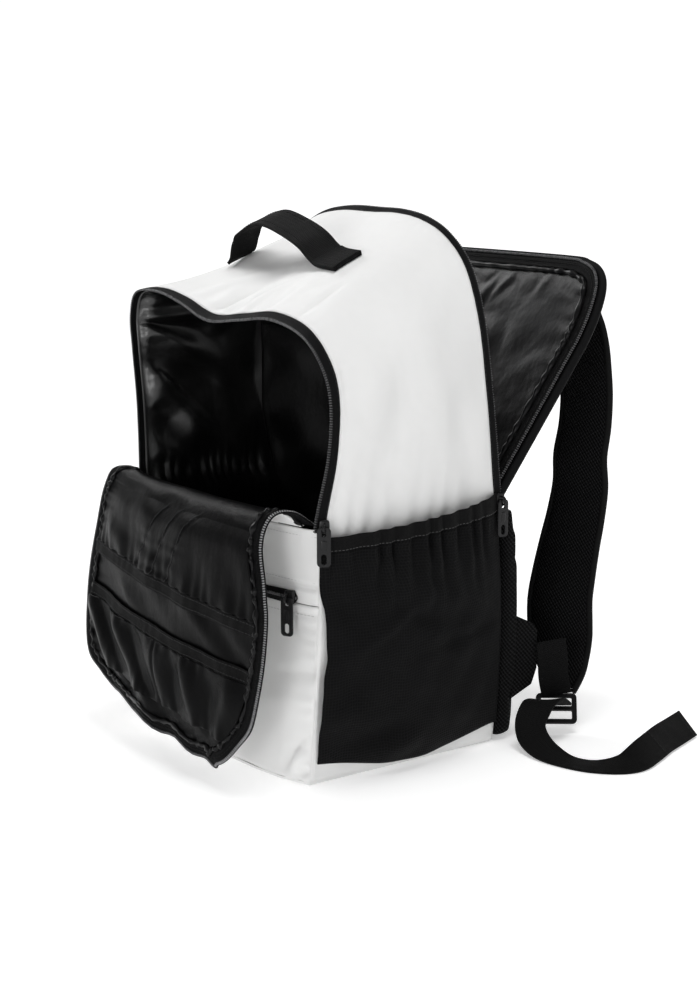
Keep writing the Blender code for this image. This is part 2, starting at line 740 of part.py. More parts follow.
def side_pockets():
    """The two side pockets, with gathers under their elastic hems."""
    rise = POCKET_TOP_FRONT - POCKET_BOTTOM
    columns = 4 * GATHER_COUNT + 1
    for side, left in (("right", False), ("left", True)):
        cloth = pocket_grid(0.0, 1.0, 6, columns, left)
        low = 1.0 + 0.6 * GAP / rise
        hem = pocket_grid(low, 1.0 + POCKET_HEM_WIDTH / rise, 2, 23, left)
        order = slice(None) if left else slice(None, None, -1)
        sheet("side_pocket_" + side, cloth[order], POCKET_CLOTH, black_mesh_cloth())
        sheet("side_pocket_hem_" + side, hem[order], HEM_THICKNESS, black_webbing())


# Straps

def grab_handle():
    """The arched webbing handle on the top, sewn down at both ends."""
    plan = HANDLE_ROWS[:, :2] * np.array([BODY_WIDTH / 2, BODY_DEPTH / 2])
    seat = HANDLE_THICKNESS / 2 + 3 * GAP
    lift = np.array([top_height(x, y) for x, y in plan]) + seat + HANDLE_ROWS[:, 2] * HANDLE_HEIGHT
    path = through(np.column_stack([plan, lift]), 2)
    across = []
    step = HANDLE_WIDTH / 2
    for (x, y), turn in zip((plan[0], plan[-1]), HANDLE_TURNS):
        aside = turn * step
        rise = top_height(x + aside, y + step) - top_height(x - aside, y - step)
        across.append((2 * aside, 2 * step, rise))
    share = np.linspace(0, 1, len(path))[:, None]
    slope = np.array(across[0]) * (1 - share) + np.array(across[1]) * share
    band("grab_handle", path, slope, HANDLE_WIDTH, HANDLE_THICKNESS, black_webbing())


def back_face(level):
    """How far back the bag's back reaches at a height: the lower back, then the leaning panel."""
    lean = math.radians(REAR_LEAN)
    low = BODY_DEPTH / 2 + GAP + LOWER_BACK_PAD
    above = np.maximum(level - HINGE_HEIGHT, 0.0) * math.tan(lean)
    wall = (REAR_PANEL_PAD + LINING + GAP) / math.cos(lean)
    return np.maximum(low, skin(ARCH_HINGE_RIGHT, 1.0)[1] + TAPE_WIDTH * 0.1 + above + wall)


def strap_path(rows):
    """The shoulder strap's middle line in metres."""
    across = rows[:, 0] * BODY_WIDTH / 2
    level = rows[:, 2] * HINGE_HEIGHT
    return np.stack([across, back_face(level) + rows[:, 1] * BODY_DEPTH / 2, level], axis=1)


def straps():
    """Shoulder straps, wings, webbing and tails on both sides."""
    size = np.array([BODY_WIDTH / 2, BODY_DEPTH / 2, HINGE_HEIGHT])
    strap = through(STRAP_ROWS, 2)
    lower = through(LOWER_WEBBING_ROWS, 2)
    tail = through(TAIL_ROWS, 2)
    level = np.zeros(len(strap))
    wide = strap[:, 4] * STRAP_WIDTH
    bands = (
        ("shoulder_strap_", strap_path(strap), strap[:, 3], level, wide, STRAP_THICKNESS),
        ("lower_webbing_", lower[:, :3] * size, lower[:, 3], lower[:, 4], WEBBING_WIDTH, WEBBING_THICKNESS),
        ("webbing_tail_", tail[:, :3] * size, tail[:, 3], tail[:, 4], WEBBING_WIDTH, WEBBING_THICKNESS),
    )
    for side, turn in (("right", False), ("left", True)):
        for name, path, heading, lift, width, wall in bands:
            across = across_from(heading, lift)
            finish = black_webbing()
            columns = 2
            if name == "shoulder_strap_":
                finish = black_mesh_cloth()
                columns = 4
            if turn:
                path = mirrored(path)
                across = mirrored(across)
            band(name + side, path, across, width, wall, finish, columns)
        wing(side, turn)
        ladder_lock(side, turn)


def flat_outline(name, loops, thickness):
    """A flat plate from closed outlines in its own XY plane, holes included, as a mesh."""
    curve = bpy.data.curves.new(name, "CURVE")
    curve.dimensions = "2D"
    curve.fill_mode = "BOTH"
    curve.extrude = thickness / 2
    for loop in loops:
        spline = curve.splines.new("POLY")
        spline.points.add(len(loop) - 1)
        for point, (x, y) in zip(spline.points, loop):
            point.co = (x, y, 0.0, 1.0)
        spline.use_cyclic_u = True
    guide = bpy.data.objects.new(name + "_outline", curve)
    CUTTERS.objects.link(guide)
    bpy.context.view_layer.update()
    evaluated = guide.evaluated_get(bpy.context.evaluated_depsgraph_get())
    mesh = bpy.data.meshes.new_from_object(evaluated)
    bpy.data.objects.remove(guide)
    work = bmesh.new()
    work.from_mesh(mesh)
    bmesh.ops.remove_doubles(work, verts=work.verts, dist=1e-6)
    bmesh.ops.recalc_face_normals(work, faces=work.faces)
    work.to_mesh(mesh)
    work.free()
    return mesh


def rounded_box(width, height_, radius, centre_y=0.0, steps=3):
    """A rectangle's outline with round corners."""
    points = []
    for quarter, (sx, sy) in enumerate(((1, 1), (-1, 1), (-1, -1), (1, -1))):
        cx = sx * (width / 2 - radius)
        cy = sy * (height_ / 2 - radius) + centre_y
        for k in range(steps + 1):
            angle = (quarter + k / steps) * math.pi / 2
            points.append((cx + radius * math.cos(angle), cy + radius * math.sin(angle)))
    return points


def wing(side, turn):
    """The triangular tab at the lower back corner, in a plane along the side."""
    base = BODY_DEPTH / 2 + 3 * GAP + LOWER_BACK_PAD
    tip = base + WING_LENGTH
    outline = [
        (base, WING_LOW),
        (tip - 0.25 * WING_LENGTH, WING_LOW + 0.12 * WING_HEIGHT),
        (tip, WING_LOW + 0.30 * WING_HEIGHT),
        (tip, WING_LOW + 0.74 * WING_HEIGHT),
        (tip - 0.20 * WING_LENGTH, WING_LOW + 0.84 * WING_HEIGHT),
        (base, WING_LOW + WING_HEIGHT),
    ]
    mesh = flat_outline("wing_" + side, [outline], WING_THICKNESS)
    place = ARCH_ROWS[-2, 3] * BODY_WIDTH / 2 - WING_THICKNESS / 2
    frame = Matrix(((0, 0, 1, -place if turn else place), (1, 0, 0, 0), (0, 1, 0, 0), (0, 0, 0, 1)))
    mesh.transform(frame)
    add_object("wing_" + side, mesh, black_mesh_cloth(), PARTS)


def ladder_lock(side, turn):
    """The plastic strap adjuster: a frame with two slots."""
    slot_length = (LOCK_LENGTH - 3 * LOCK_BAR) / 2
    slot_width = LOCK_WIDTH - 2 * LOCK_BAR
    step = (slot_length + LOCK_BAR) / 2
    loops = [
        rounded_box(LOCK_WIDTH, LOCK_LENGTH, 0.004),
        rounded_box(slot_width, slot_length, 0.001, step, 1),
        rounded_box(slot_width, slot_length, 0.001, -step, 1),
    ]
    mesh = flat_outline("ladder_lock_" + side, loops, LOCK_THICKNESS)
    heading = math.radians(LOCK_HEADING)
    across = Vector((math.cos(heading), math.sin(heading), 0.0))
    tilt = math.radians(LOCK_TILT)
    front = Vector((across.y, -across.x, 0.0))
    up = Vector((0, 0, 1)) * math.cos(tilt) - front * math.sin(tilt)
    out = across.cross(up)
    size = (BODY_WIDTH / 2, BODY_DEPTH / 2, HINGE_HEIGHT)
    frame = Matrix.Identity(4)
    for k in range(3):
        frame[k][0], frame[k][1], frame[k][2] = across[k], up[k], out[k]
        frame[k][3] = LOCK_PLACE[k] * size[k]
    mesh.transform(frame)
    if turn:
        mesh.transform(Matrix.Diagonal((-1, 1, 1, 1)))
        mesh.flip_normals()
    add_object("ladder_lock_" + side, mesh, black_plastic(), PARTS)


# Zip sliders

def bridge_mesh():
    """The slider's arched bridge: a bent wire in the plane of the zip and the outward direction."""
    curve = bpy.data.curves.new("bridge", "CURVE")
    curve.dimensions = "3D"
    curve.bevel_depth = BRIDGE_WIRE
    curve.bevel_resolution = 1
    curve.use_fill_caps = True
    foot = SLIDER_THICKNESS / 2
    crown = SLIDER_THICKNESS + PIVOT_HEIGHT
    turns = np.linspace(0, math.pi, 7)
    arc = [(crown + BRIDGE_RADIUS * math.sin(turn), BRIDGE_RADIUS * math.cos(turn)) for turn in turns]
    points = [(foot, BRIDGE_RADIUS), *arc, (foot, -BRIDGE_RADIUS)]
    spline = curve.splines.new("POLY")
    spline.points.add(len(points) - 1)
    for point, (x, z) in zip(spline.points, points):
        point.co = (x, 0.0, z, 1.0)
    guide = bpy.data.objects.new("bridge_wire", curve)
    CUTTERS.objects.link(guide)
    bpy.context.view_layer.update()
    evaluated = guide.evaluated_get(bpy.context.evaluated_depsgraph_get())
    mesh = bpy.data.meshes.new_from_object(evaluated)
    bpy.data.objects.remove(guide)
    work = bmesh.new()
    work.from_mesh(mesh)
    bmesh.ops.remove_doubles(work, verts=work.verts, dist=1e-6)
    bmesh.ops.recalc_face_normals(work, faces=work.faces)
    work.to_mesh(mesh)
    work.free()
    return mesh


def zip_slider(name, position, heading):
    """A slider and its puller. Heading is the outward direction; the puller hangs down."""
    work = bmesh.new()
    bmesh.ops.create_cube(work, size=1.0)
    size = Matrix.Diagonal((SLIDER_THICKNESS, SLIDER_WIDTH, SLIDER_LENGTH, 1.0))
    bmesh.ops.transform(work, matrix=Matrix.Translation((SLIDER_THICKNESS / 2, 0, 0)) @ size, verts=work.verts)
    mesh = bpy.data.meshes.new(name + "_slider")
    work.to_mesh(mesh)
    work.free()
    frame = Matrix.Translation(position) @ Matrix.Rotation(math.radians(heading), 4, "Z")
    body = add_object(name + "_slider", mesh, black_metal(), PARTS)
    body.matrix_world = frame
    bridge = add_object(name + "_bridge", bridge_mesh(), black_metal(), CUTTERS)
    bridge.matrix_world = frame
    bridge.hide_render = True
    bridge.display_type = "WIRE"
    edge = body.modifiers.new("edges", "BEVEL")
    edge.width = 0.0011
    edge.segments = 1
    joined = body.modifiers.new("bridge", "BOOLEAN")
    joined.operation = "UNION"
    joined.object = bridge

    top = PULLER_BAR / 2
    slot_middle = -PULLER_BAR / 2 - PULLER_SLOT_LENGTH / 2
    plate_middle = top - PULLER_LENGTH / 2
    hole_middle = top - PULLER_LENGTH + PULLER_RIM + PULLER_HOLE_LENGTH / 2
    loops = [
        rounded_box(PULLER_WIDTH, PULLER_LENGTH, PULLER_WIDTH * 0.25, plate_middle),
        rounded_box(PULLER_SLOT_WIDTH, PULLER_SLOT_LENGTH, PULLER_SLOT_WIDTH * 0.2, slot_middle, 1),
        rounded_box(PULLER_HOLE_WIDTH, PULLER_HOLE_LENGTH, PULLER_HOLE_WIDTH * 0.4, hole_middle, 2),
    ]
    plate = flat_outline(name + "_puller", loops, PULLER_THICKNESS)
    plate.transform(Matrix(((0, 0, 1, 0), (1, 0, 0, 0), (0, 1, 0, 0), (0, 0, 0, 1))))
    puller = add_object(name + "_puller", plate, black_metal(), PARTS)
    puller.matrix_world = frame @ Matrix.Translation((SLIDER_THICKNESS + PIVOT_HEIGHT, 0, 0))


def sliders():
    """The three zip sliders that show, each with its hanging puller."""
    front_corner = skin(ARCH_HINGE_RIGHT, 0.0)
    rear_corner = skin(ARCH_HINGE_RIGHT, 1.0)
    zip_slider(
        "front",
        (front_corner[0] + FRONT_SLIDER_OUT, front_corner[1] - FRONT_SLIDER_OUT, front_corner[2]),
        -40.0,
    )
    zip_slider(
        "rear",
        (rear_corner[0] + CLOTH, rear_corner[1] + TAPE_WIDTH / 2, rear_corner[2]),
        0.0,
    )
    wall = front_wall(np.array([POCKET_ZIP_HEIGHT]), 3, POCKET_SLIDER_SHARE)[2, 0]
    zip_slider(
        "pocket",
        (wall[0], wall[1] - CLOTH - TAPE_THICKNESS - 3 * GAP - SLIDER_WIDTH * POCKET_SLIDER_LIFT, wall[2] + GAP),
        -66.0,
    )


def build():
    """Model every piece."""
    base_panel()
    gusset()
    lining()
    divider()
    lower_front()
    body_tapes()
    front_flap()
    rear_panel()
    lower_back_panel()
    side_pockets()
    grab_handle()
    straps()
    sliders()


for old in list(bpy.data.objects):
    bpy.data.objects.remove(old)
PARTS = bpy.data.collections.new("school_backpack")
CUTTERS = bpy.data.collections.new("cutters")
bpy.context.scene.collection.children.link(PARTS)
bpy.context.scene.collection.children.link(CUTTERS)
build()
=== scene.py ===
"""Dresses the school backpack: cloth, linings, zips, webbing, padding and hardware.

It is laid out as an add-on and run as a script. Metres, +Z up, X to the right seen from the front,
Y to the back. Surfaces are functions of two parameters, worked out on grids with numpy.
"""
import math

import bpy
import numpy as np
from bpy.props import FloatProperty, FloatVectorProperty, IntProperty, PointerProperty
from mathutils import Matrix, Vector


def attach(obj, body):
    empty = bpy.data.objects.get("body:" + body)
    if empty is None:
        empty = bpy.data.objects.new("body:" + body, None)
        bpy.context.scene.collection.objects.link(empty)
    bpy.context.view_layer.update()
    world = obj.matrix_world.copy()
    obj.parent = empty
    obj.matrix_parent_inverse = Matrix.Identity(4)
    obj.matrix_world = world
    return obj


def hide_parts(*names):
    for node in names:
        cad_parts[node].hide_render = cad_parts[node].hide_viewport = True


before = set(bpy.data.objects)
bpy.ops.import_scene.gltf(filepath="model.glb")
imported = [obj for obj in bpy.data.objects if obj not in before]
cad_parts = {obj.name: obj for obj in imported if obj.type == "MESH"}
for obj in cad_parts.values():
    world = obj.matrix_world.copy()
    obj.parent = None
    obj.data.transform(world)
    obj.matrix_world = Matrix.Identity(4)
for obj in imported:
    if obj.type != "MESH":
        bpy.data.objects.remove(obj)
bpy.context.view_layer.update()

bl_info = {
    "name": "School backpack finish",
    "version": (1, 0, 0),
    "blender": (4, 5, 0),
    "location": "View3D > Sidebar > Backpack",
    "description": "Cloth, zips, webbing, padding and hardware of an open school backpack",
    "category": "Object",
}

# Sizes that the cloth shares with the frame
BODY_WIDTH = 0.250
BODY_DEPTH = 0.180
HINGE_HEIGHT = 0.205
FRONT_TOP = 0.364
REAR_TOP = 0.426
BASE_THICKNESS = 0.002
CLOTH = 0.0015
LINING = 0.001
GAP = 0.0005
DIVIDER_PLACE = 0.76
DIVIDER_TOP = 0.330
TAPE_WIDTH = 0.0095
TAPE_THICKNESS = 0.0012
FRONT_BOW = 0.012
FRONT_BOW_POWER = 4
POCKET_ZIP_HEIGHT = 0.148
POCKET_ZIP_WIDTH = 0.009
POCKET_ZIP_HALF = 0.108
POCKET_SLIDER_SHARE = 0.835
POCKET_SLIDER_LIFT = 0.16
FLAP_REACH = 0.050
FLAP_CROWN = 0.012
FLAP_CROWN_FROM = 0.35
FLAP_SKEW = 0.052
FLAP_SKEW_FROM = 0.10
FLAP_SKEW_OVER = 0.25
PEN_POCKET_TOP = 0.16
FLAP_POCKET_END = 0.85
PEN_HEM_PLACE = 0.432
FLAP_HEM_PLACE = 0.590
FLAP_HEM_WIDTH = 0.011
REAR_LEAN = 30.0
REAR_PANEL_LENGTH = 0.213
REAR_PANEL_PAD = 0.014
LOWER_BACK_PAD = 0.022
POCKET_BOTTOM = 0.018
POCKET_TOP_FRONT = 0.186
POCKET_TOP_REAR = 0.197
POCKET_HEM_WIDTH = 0.011
POCKET_BULGE = 0.015
POCKET_MOUTH = 0.0100
GATHER_COUNT = 11
STRAP_WIDTH = 0.060
STRAP_THICKNESS = 0.010
WEBBING_WIDTH = 0.025
WEBBING_THICKNESS = 0.0016
HANDLE_WIDTH = 0.028
HANDLE_HEIGHT = 0.035
HANDLE_TURNS = (-0.14, 0.34)
HANDLE_THICKNESS = 0.0025
WING_THICKNESS = 0.006
WING_LENGTH = 0.022
WING_HEIGHT = 0.072
WING_LOW = 0.034
LOCK_WIDTH = 0.034
LOCK_LENGTH = 0.026
LOCK_THICKNESS = 0.004
LOCK_BAR = 0.0042
LOCK_PLACE = (1.004, 1.683, 0.095)
LOCK_HEADING = 52.0
LOCK_TILT = 28.0
SLIDER_WIDTH = 0.008
SLIDER_LENGTH = 0.012
SLIDER_THICKNESS = 0.0035
BRIDGE_RADIUS = 0.0031
BRIDGE_WIRE = 0.0008
FRONT_SLIDER_OUT = 0.0018
PIVOT_HEIGHT = 0.0022
PULLER_WIDTH = 0.0105
PULLER_LENGTH = 0.0300
PULLER_THICKNESS = 0.0016
PULLER_BAR = 0.0018
PULLER_RIM = 0.0022
PULLER_SLOT_LENGTH = 0.0048
PULLER_SLOT_WIDTH = 0.0030
PULLER_HOLE_LENGTH = 0.0075
PULLER_HOLE_WIDTH = 0.0039

# Seams, rims and stitches, and how many frames the padding is simulated for
STITCH_LIFT = 0.0002
POCKET_HEM_DROP = 0.0125
STRIP_SEAMS = (0.1612, 0.1965)
HINGE_STEP = 0.004
FLAP_SEWN_END = 0.955
FLAP_SEAM_REACH = 0.014
WING_SEAM = 0.006
RIM_RADIUS = 0.0036
PADDING_FRAMES = 16

# The stage: the camera in degrees and metres, and the floor's glow near the bag and far away
SENSOR = 36.0
LENS = 68.4
CAMERA_AIM = (0.041, 0.0, 0.201)
CAMERA_TURN = 53.4
CAMERA_TILT = 11.06
CAMERA_REACH = 1.527
LAMP_AIM = (0.0, 0.0, 0.2)
FLOOR_NEAR = (0.62, 0.62, 0.62)
FLOOR_FAR = (1.4, 1.4, 1.4)
HORIZON_LIGHT = 1.04

# The openings' outlines, as in the frame: shares of the half width, the hinge and top heights, and
# the half depth, from the left floor corner over the top to the right floor corner.
ARCH_ROWS = np.array([
    # front_across, front_up, front_fore, rear_across, rear_up, rear_back, puff
    (-0.904, 0.000, 1.000, -0.912, 0.000, 1.000, 0.000),
    (-0.952, 0.340, 1.000, -0.944, 0.340, 1.000, 0.015),
    (-0.984, 0.640, 1.000, -0.960, 0.640, 0.990, 0.020),
    (-1.000, 1.000, 0.980, -0.984, 1.000, 0.880, 0.020),
    (-1.110, 1.377, 0.910, -1.032, 1.293, 0.760, 0.030),
    (-1.180, 1.673, 0.894, -1.048, 1.563, 0.650, 0.020),
    (-1.190, 1.849, 0.894, -1.008, 1.743, 0.630, -0.010),
    (-1.104, 1.975, 0.894, -0.896, 1.887, 0.620, -0.040),
    (-0.840, 2.000, 0.894, -0.680, 1.968, 0.620, -0.030),
    (-0.560, 1.969, 0.894, -0.360, 2.000, 0.620, -0.010),
    (-0.230, 1.905, 0.894, 0.000, 2.000, 0.620, 0.005),
    (0.120, 1.930, 0.894, 0.240, 2.000, 0.620, 0.020),
    (0.460, 1.955, 0.894, 0.480, 1.982, 0.620, 0.030),
    (0.794, 1.900, 0.894, 0.704, 1.932, 0.620, 0.035),
    (1.002, 1.765, 0.894, 0.896, 1.832, 0.628, 0.030),
    (1.090, 1.590, 0.894, 1.010, 1.670, 0.645, 0.030),
    (1.085, 1.333, 0.910, 1.040, 1.428, 0.710, 0.035),
    (1.030, 1.000, 0.980, 1.000, 1.000, 0.870, 0.025),
    (0.992, 0.640, 1.000, 0.968, 0.640, 0.980, 0.020),
    (0.960, 0.340, 1.000, 0.952, 0.340, 1.000, 0.015),
    (0.904, 0.000, 1.000, 0.912, 0.000, 1.000, 0.000),
])
LAST_STATION = len(ARCH_ROWS) - 1
HINGE_LEFT = 3
HINGE_RIGHT = 17

FLAP_PATH_ROWS = np.array([
    # out, up
    (0.010, 1.000),
    (0.280, 1.051),
    (0.560, 1.044),
    (0.760, 0.966),
    (0.880, 0.829),
    (0.980, 0.634),
    (1.000, 0.439),
    (0.980, 0.244),
    (0.920, 0.059),
])
FLAP_OUTLINE_ROWS = np.array([
    # left_across, left_down, right_across, right_down
    (-0.975, 0.000, 0.975, 0.000),
    (-1.010, 0.080, 0.930, 0.080),
    (-1.060, 0.140, 0.890, 0.140),
    (-1.050, 0.220, 0.900, 0.220),
    (-1.056, 0.360, 0.976, 0.330),
    (-1.100, 0.530, 1.016, 0.440),
    (-1.144, 0.730, 0.980, 0.600),
    (-1.104, 0.855, 0.880, 0.770),
    (-0.976, 0.915, 0.736, 0.870),
    (-0.800, 0.940, 0.592, 0.940),
    (-0.600, 0.948, 0.416, 0.970),
])
REAR_OUTLINE_ROWS = np.array([
    # across, up
    (0.965, 0.015),
    (1.035, 0.280),
    (1.105, 0.550),
    (1.140, 0.720),
    (1.110, 0.870),
    (1.030, 0.950),
    (0.890, 0.988),
    (0.640, 1.000),
])
LOWER_BACK_ROWS = np.array([
    # up, share
    (0.00, 0.80),
    (0.12, 1.00),
    (0.55, 1.00),
    (0.75, 0.85),
    (0.90, 0.58),
    (1.00, 0.35),
])
STRAP_ROWS = np.array([
    # across, behind, up, across_heading, width_share
    (0.560, 0.134, 1.785, 0.0, 0.88),
    (0.596, 0.231, 1.727, 1.0, 0.92),
    (0.632, 0.331, 1.668, 3.0, 0.94),
    (0.672, 0.432, 1.600, 5.0, 0.94),
    (0.748, 0.594, 1.463, 8.0, 0.92),
    (0.788, 0.876, 1.220, 11.0, 0.90),
    (0.796, 0.944, 0.976, 15.0, 0.92),
    (0.776, 0.850, 0.732, 20.0, 0.96),
    (0.780, 0.739, 0.512, 28.0, 0.98),
    (0.840, 0.683, 0.356, 38.0, 0.92),
    (0.904, 0.628, 0.244, 47.0, 0.72),
    (0.958, 0.516, 0.165, 52.0, 0.52),
])
LOWER_WEBBING_ROWS = np.array([
    # across, back, up, across_heading, across_lift
    (1.016, 1.578, 0.390, 60.0, -42.0),
    (1.026, 1.594, 0.322, 56.0, -30.0),
    (1.010, 1.631, 0.234, 52.0, -10.0),
    (1.000, 1.687, 0.155, 52.0, 0.0),
])
TAIL_ROWS = np.array([
    # across, back, up, across_heading, across_lift
    (1.015, 1.666, 0.115, 52.0, 0.0),
    (1.076, 1.578, 0.137, 52.0, 0.0),
    (1.112, 1.433, 0.166, 52.0, 3.0),
    (1.136, 1.278, 0.156, 52.0, 6.0),
    (1.152, 1.178, 0.102, 52.0, 8.0),
    (1.216, 1.133, 0.054, 56.0, 10.0),
    (1.360, 1.100, 0.024, 75.0, 8.0),
    (1.536, 1.133, 0.007, 100.0, 0.0),
    (1.728, 1.244, 0.010, 125.0, 4.0),
    (1.848, 1.467, 0.024, 165.0, 18.0),
    (1.808, 1.756, 0.044, 197.0, 38.0),
    (1.728, 2.044, 0.051, 203.0, 47.0),
    (1.656, 2.322, 0.051, 203.0, 47.0),
    (1.592, 2.567, 0.051, 203.0, 47.0),
])
HANDLE_ROWS = np.array([
    # across, back, rise
    (-0.700, -0.222, 0.000),
    (-0.655, -0.222, 0.120),
    (-0.615, -0.222, 0.420),
    (-0.560, -0.222, 0.660),
    (-0.418, -0.222, 0.880),
    (-0.267, -0.222, 1.000),
    (-0.066, -0.222, 0.855),
    (0.130, -0.222, 0.504),
    (0.264, -0.222, 0.165),
    (0.352, -0.222, 0.020),
    (0.523, -0.222, 0.000),
])

# Folds and dents. Place and reach are in the piece's own two parameters, depth in metres, outwards.
GUSSET_FOLD_ROWS = np.array([
    # station, back, length, width, depth, slant
    (10.2, 0.10, 0.25, 0.16, -0.0016, 0.10),
    (10.6, 0.12, 0.18, 0.18, 0.0014, 0.12),
    (9.7, 0.14, 0.20, 0.15, 0.0012, -0.08),
    (11.4, 0.13, 0.16, 0.15, -0.0012, 0.15),
    (12.3, 0.30, 0.35, 0.10, -0.0014, 0.30),
    (9.2, 0.48, 0.50, 0.20, -0.0020, 0.10),
    (15.6, 0.62, 1.20, 0.12, 0.0016, 0.10),
    (15.9, 0.35, 1.30, 0.10, -0.0014, -0.08),
    (14.8, 0.20, 0.90, 0.09, 0.0010, 0.05),
    (16.4, 0.80, 0.80, 0.08, -0.0016, 0.10),
    (6.6, 0.50, 1.00, 0.14, -0.0020, 0.10),
    (4.8, 0.35, 1.10, 0.12, 0.0016, -0.10),
    (19.2, 0.12, 0.50, 0.08, -0.0012, 0.10),
])
GUSSET_CREASE_ROWS = np.array([
    # back, station, length, width, depth, slant
    (0.07, 9.90, 0.12, 0.10, -0.0020, 2.5),
    (0.07, 10.25, 0.12, 0.08, 0.0018, 2.0),
    (0.08, 10.60, 0.13, 0.08, -0.0018, 1.6),
    (0.08, 10.95, 0.12, 0.09, 0.0016, 1.2),
    (0.10, 11.60, 0.12, 0.12, -0.0014, 1.0),
    (0.18, 12.60, 0.16, 0.08, -0.0012, 0.5),
    (0.20, 9.40, 0.14, 0.16, 0.0016, 2.0),
])
LINING_CREASE_ROWS = np.array([
    # back, station, length, width, depth, slant
    (0.24, 4.95, 0.22, 0.26, 0.0090, -1.8),
    (0.30, 4.50, 0.20, 0.14, -0.0030, -1.8),
    (0.20, 3.95, 0.19, 0.26, 0.0085, -2.2),
    (0.14, 5.85, 0.16, 0.22, 0.0055, -1.2),
    (0.10, 5.35, 0.10, 0.12, 0.0035, -2.5),
    (0.09, 4.40, 0.10, 0.10, 0.0035, -2.5),
    (0.12, 3.30, 0.12, 0.16, 0.0050, -1.5),
    (0.45, 5.60, 0.25, 0.25, 0.0050, -0.8),
    (0.30, 16.0, 0.25, 0.30, 0.0050, 1.5),
    (0.35, 15.0, 0.22, 0.25, 0.0045, 1.5),
])
LINING_FOLD_ROWS = np.array([
    # station, back, length, width, depth, slant
    (5.6, 0.50, 0.90, 0.090, 0.0060, -0.12),
    (3.6, 0.50, 0.80, 0.100, 0.0045, 0.05),
    (5.8, 0.55, 0.70, 0.060, 0.0040, 0.10),
    (15.6, 0.27, 1.20, 0.100, 0.0050, -0.06),
    (14.9, 0.55, 0.80, 0.060, 0.0040, 0.10),
])
FRONT_FOLD_ROWS = np.array([
    # across, up, length, width, depth, slant
    (0.91, 0.15, 0.07, 0.050, 0.0050, 0.80),
    (0.83, 0.13, 0.06, 0.060, -0.0040, 0.80),
    (0.95, 0.06, 0.05, 0.030, -0.0030, 0.40),
    (0.97, 0.20, 0.12, 0.025, -0.0020, 0.10),
    (0.88, 0.62, 0.20, 0.040, -0.0016, 0.10),
    (0.70, 0.45, 0.35, 0.080, 0.0018, 0.15),
    (0.30, 0.40, 0.40, 0.120, -0.0016, -0.10),
    (-0.40, 0.35, 0.35, 0.100, 0.0018, 0.10),
    (-0.90, 0.15, 0.12, 0.030, 0.0030, -0.20),
])
FLAP_FOLD_ROWS = np.array([
    # across, down, length, width, depth, slant
    (-0.62, 0.38, 0.10, 0.040, 0.0016, 0.10),
    (-0.30, 0.34, 0.09, 0.030, -0.0012, 0.12),
    (0.42, 0.52, 0.16, 0.035, 0.0016, 0.30),
    (-0.55, 0.53, 0.20, 0.030, 0.0018, 0.20),
    (0.70, 0.55, 0.12, 0.040, -0.0016, 0.40),
    (-0.75, 0.36, 0.10, 0.050, 0.0016, 0.30),
])
FLAP_DRAPE_ROWS = np.array([
    # down, across, length, width, depth, slant
    (0.70, -0.92, 0.16, 0.09, 0.0040, 1.4),
    (0.74, -0.70, 0.14, 0.07, -0.0030, 1.6),
    (0.72, -0.48, 0.16, 0.10, 0.0042, 1.5),
    (0.76, -0.22, 0.15, 0.08, -0.0034, 1.2),
    (0.72, 0.02, 0.16, 0.12, 0.0040, 0.3),
    (0.80, 0.16, 0.14, 0.06, -0.0030, -0.2),
    (0.76, 0.32, 0.18, 0.10, 0.0046, 0.5),
    (0.84, 0.50, 0.14, 0.06, -0.0026, -0.3),
    (0.72, 0.68, 0.14, 0.08, 0.0030, -0.6),
])
REAR_FOLD_ROWS = np.array([
    # across, up, length, width, depth, slant
    (0.10, 0.86, 0.10, 0.050, 0.0016, 0.90),
    (0.20, 0.84, 0.12, 0.030, -0.0012, 0.90),
    (0.62, 0.90, 0.06, 0.050, 0.0014, 0.60),
    (0.55, 0.30, 0.20, 0.080, -0.0014, 0.20),
    (-0.30, 0.50, 0.30, 0.150, 0.0012, 0.10),
    (0.72, 0.58, 0.10, 0.040, 0.0010, 0.50),
])
SIDE_FOLD_ROWS = np.array([
    # back, up, length, width, depth, slant
    (0.10, 0.72, 0.05, 0.090, -0.0030, -0.50),
    (0.14, 0.50, 0.06, 0.100, 0.0032, -0.60),
    (0.16, 0.38, 0.05, 0.120, -0.0030, -0.50),
    (0.30, 0.62, 0.20, 0.040, 0.0022, 0.50),
    (0.55, 0.60, 0.22, 0.050, -0.0024, -0.30),
    (0.72, 0.66, 0.24, 0.045, 0.0026, -0.40),
    (0.28, 0.12, 0.14, 0.050, -0.0036, 0.20),
    (0.40, 0.10, 0.12, 0.060, 0.0030, 0.10),
    (0.88, 0.50, 0.35, 0.035, -0.0024, 0.10),
    (0.06, 0.22, 0.10, 0.060, 0.0030, 0.20),
])
# The wavy front edge of the side pockets, as a share of the depth at a height.
POCKET_EDGE_ROWS = np.array([
    # up, back
    (-0.10, 0.010),
    (0.01, 0.011),
    (0.18, 0.005),
    (0.32, 0.012),
    (0.41, 0.012),
    (0.50, 0.024),
    (0.56, 0.019),
    (0.66, 0.012),
    (0.74, 0.000),
    (0.82, -0.014),
    (0.94, -0.024),
    (1.07, -0.045),
    (1.20, -0.045),
])
# The pen slots' stitch lines on the flap, each from the roll down to the hem.
PEN_STITCH_ROWS = np.array([
    # across_start, across_end
    (0.02, -0.36),
    (0.21, -0.17),
    (0.40, -0.01),
])


def sizes():
    """The sizes and colours set in the sidebar."""
    return bpy.context.scene.backpack


# Curves and grids

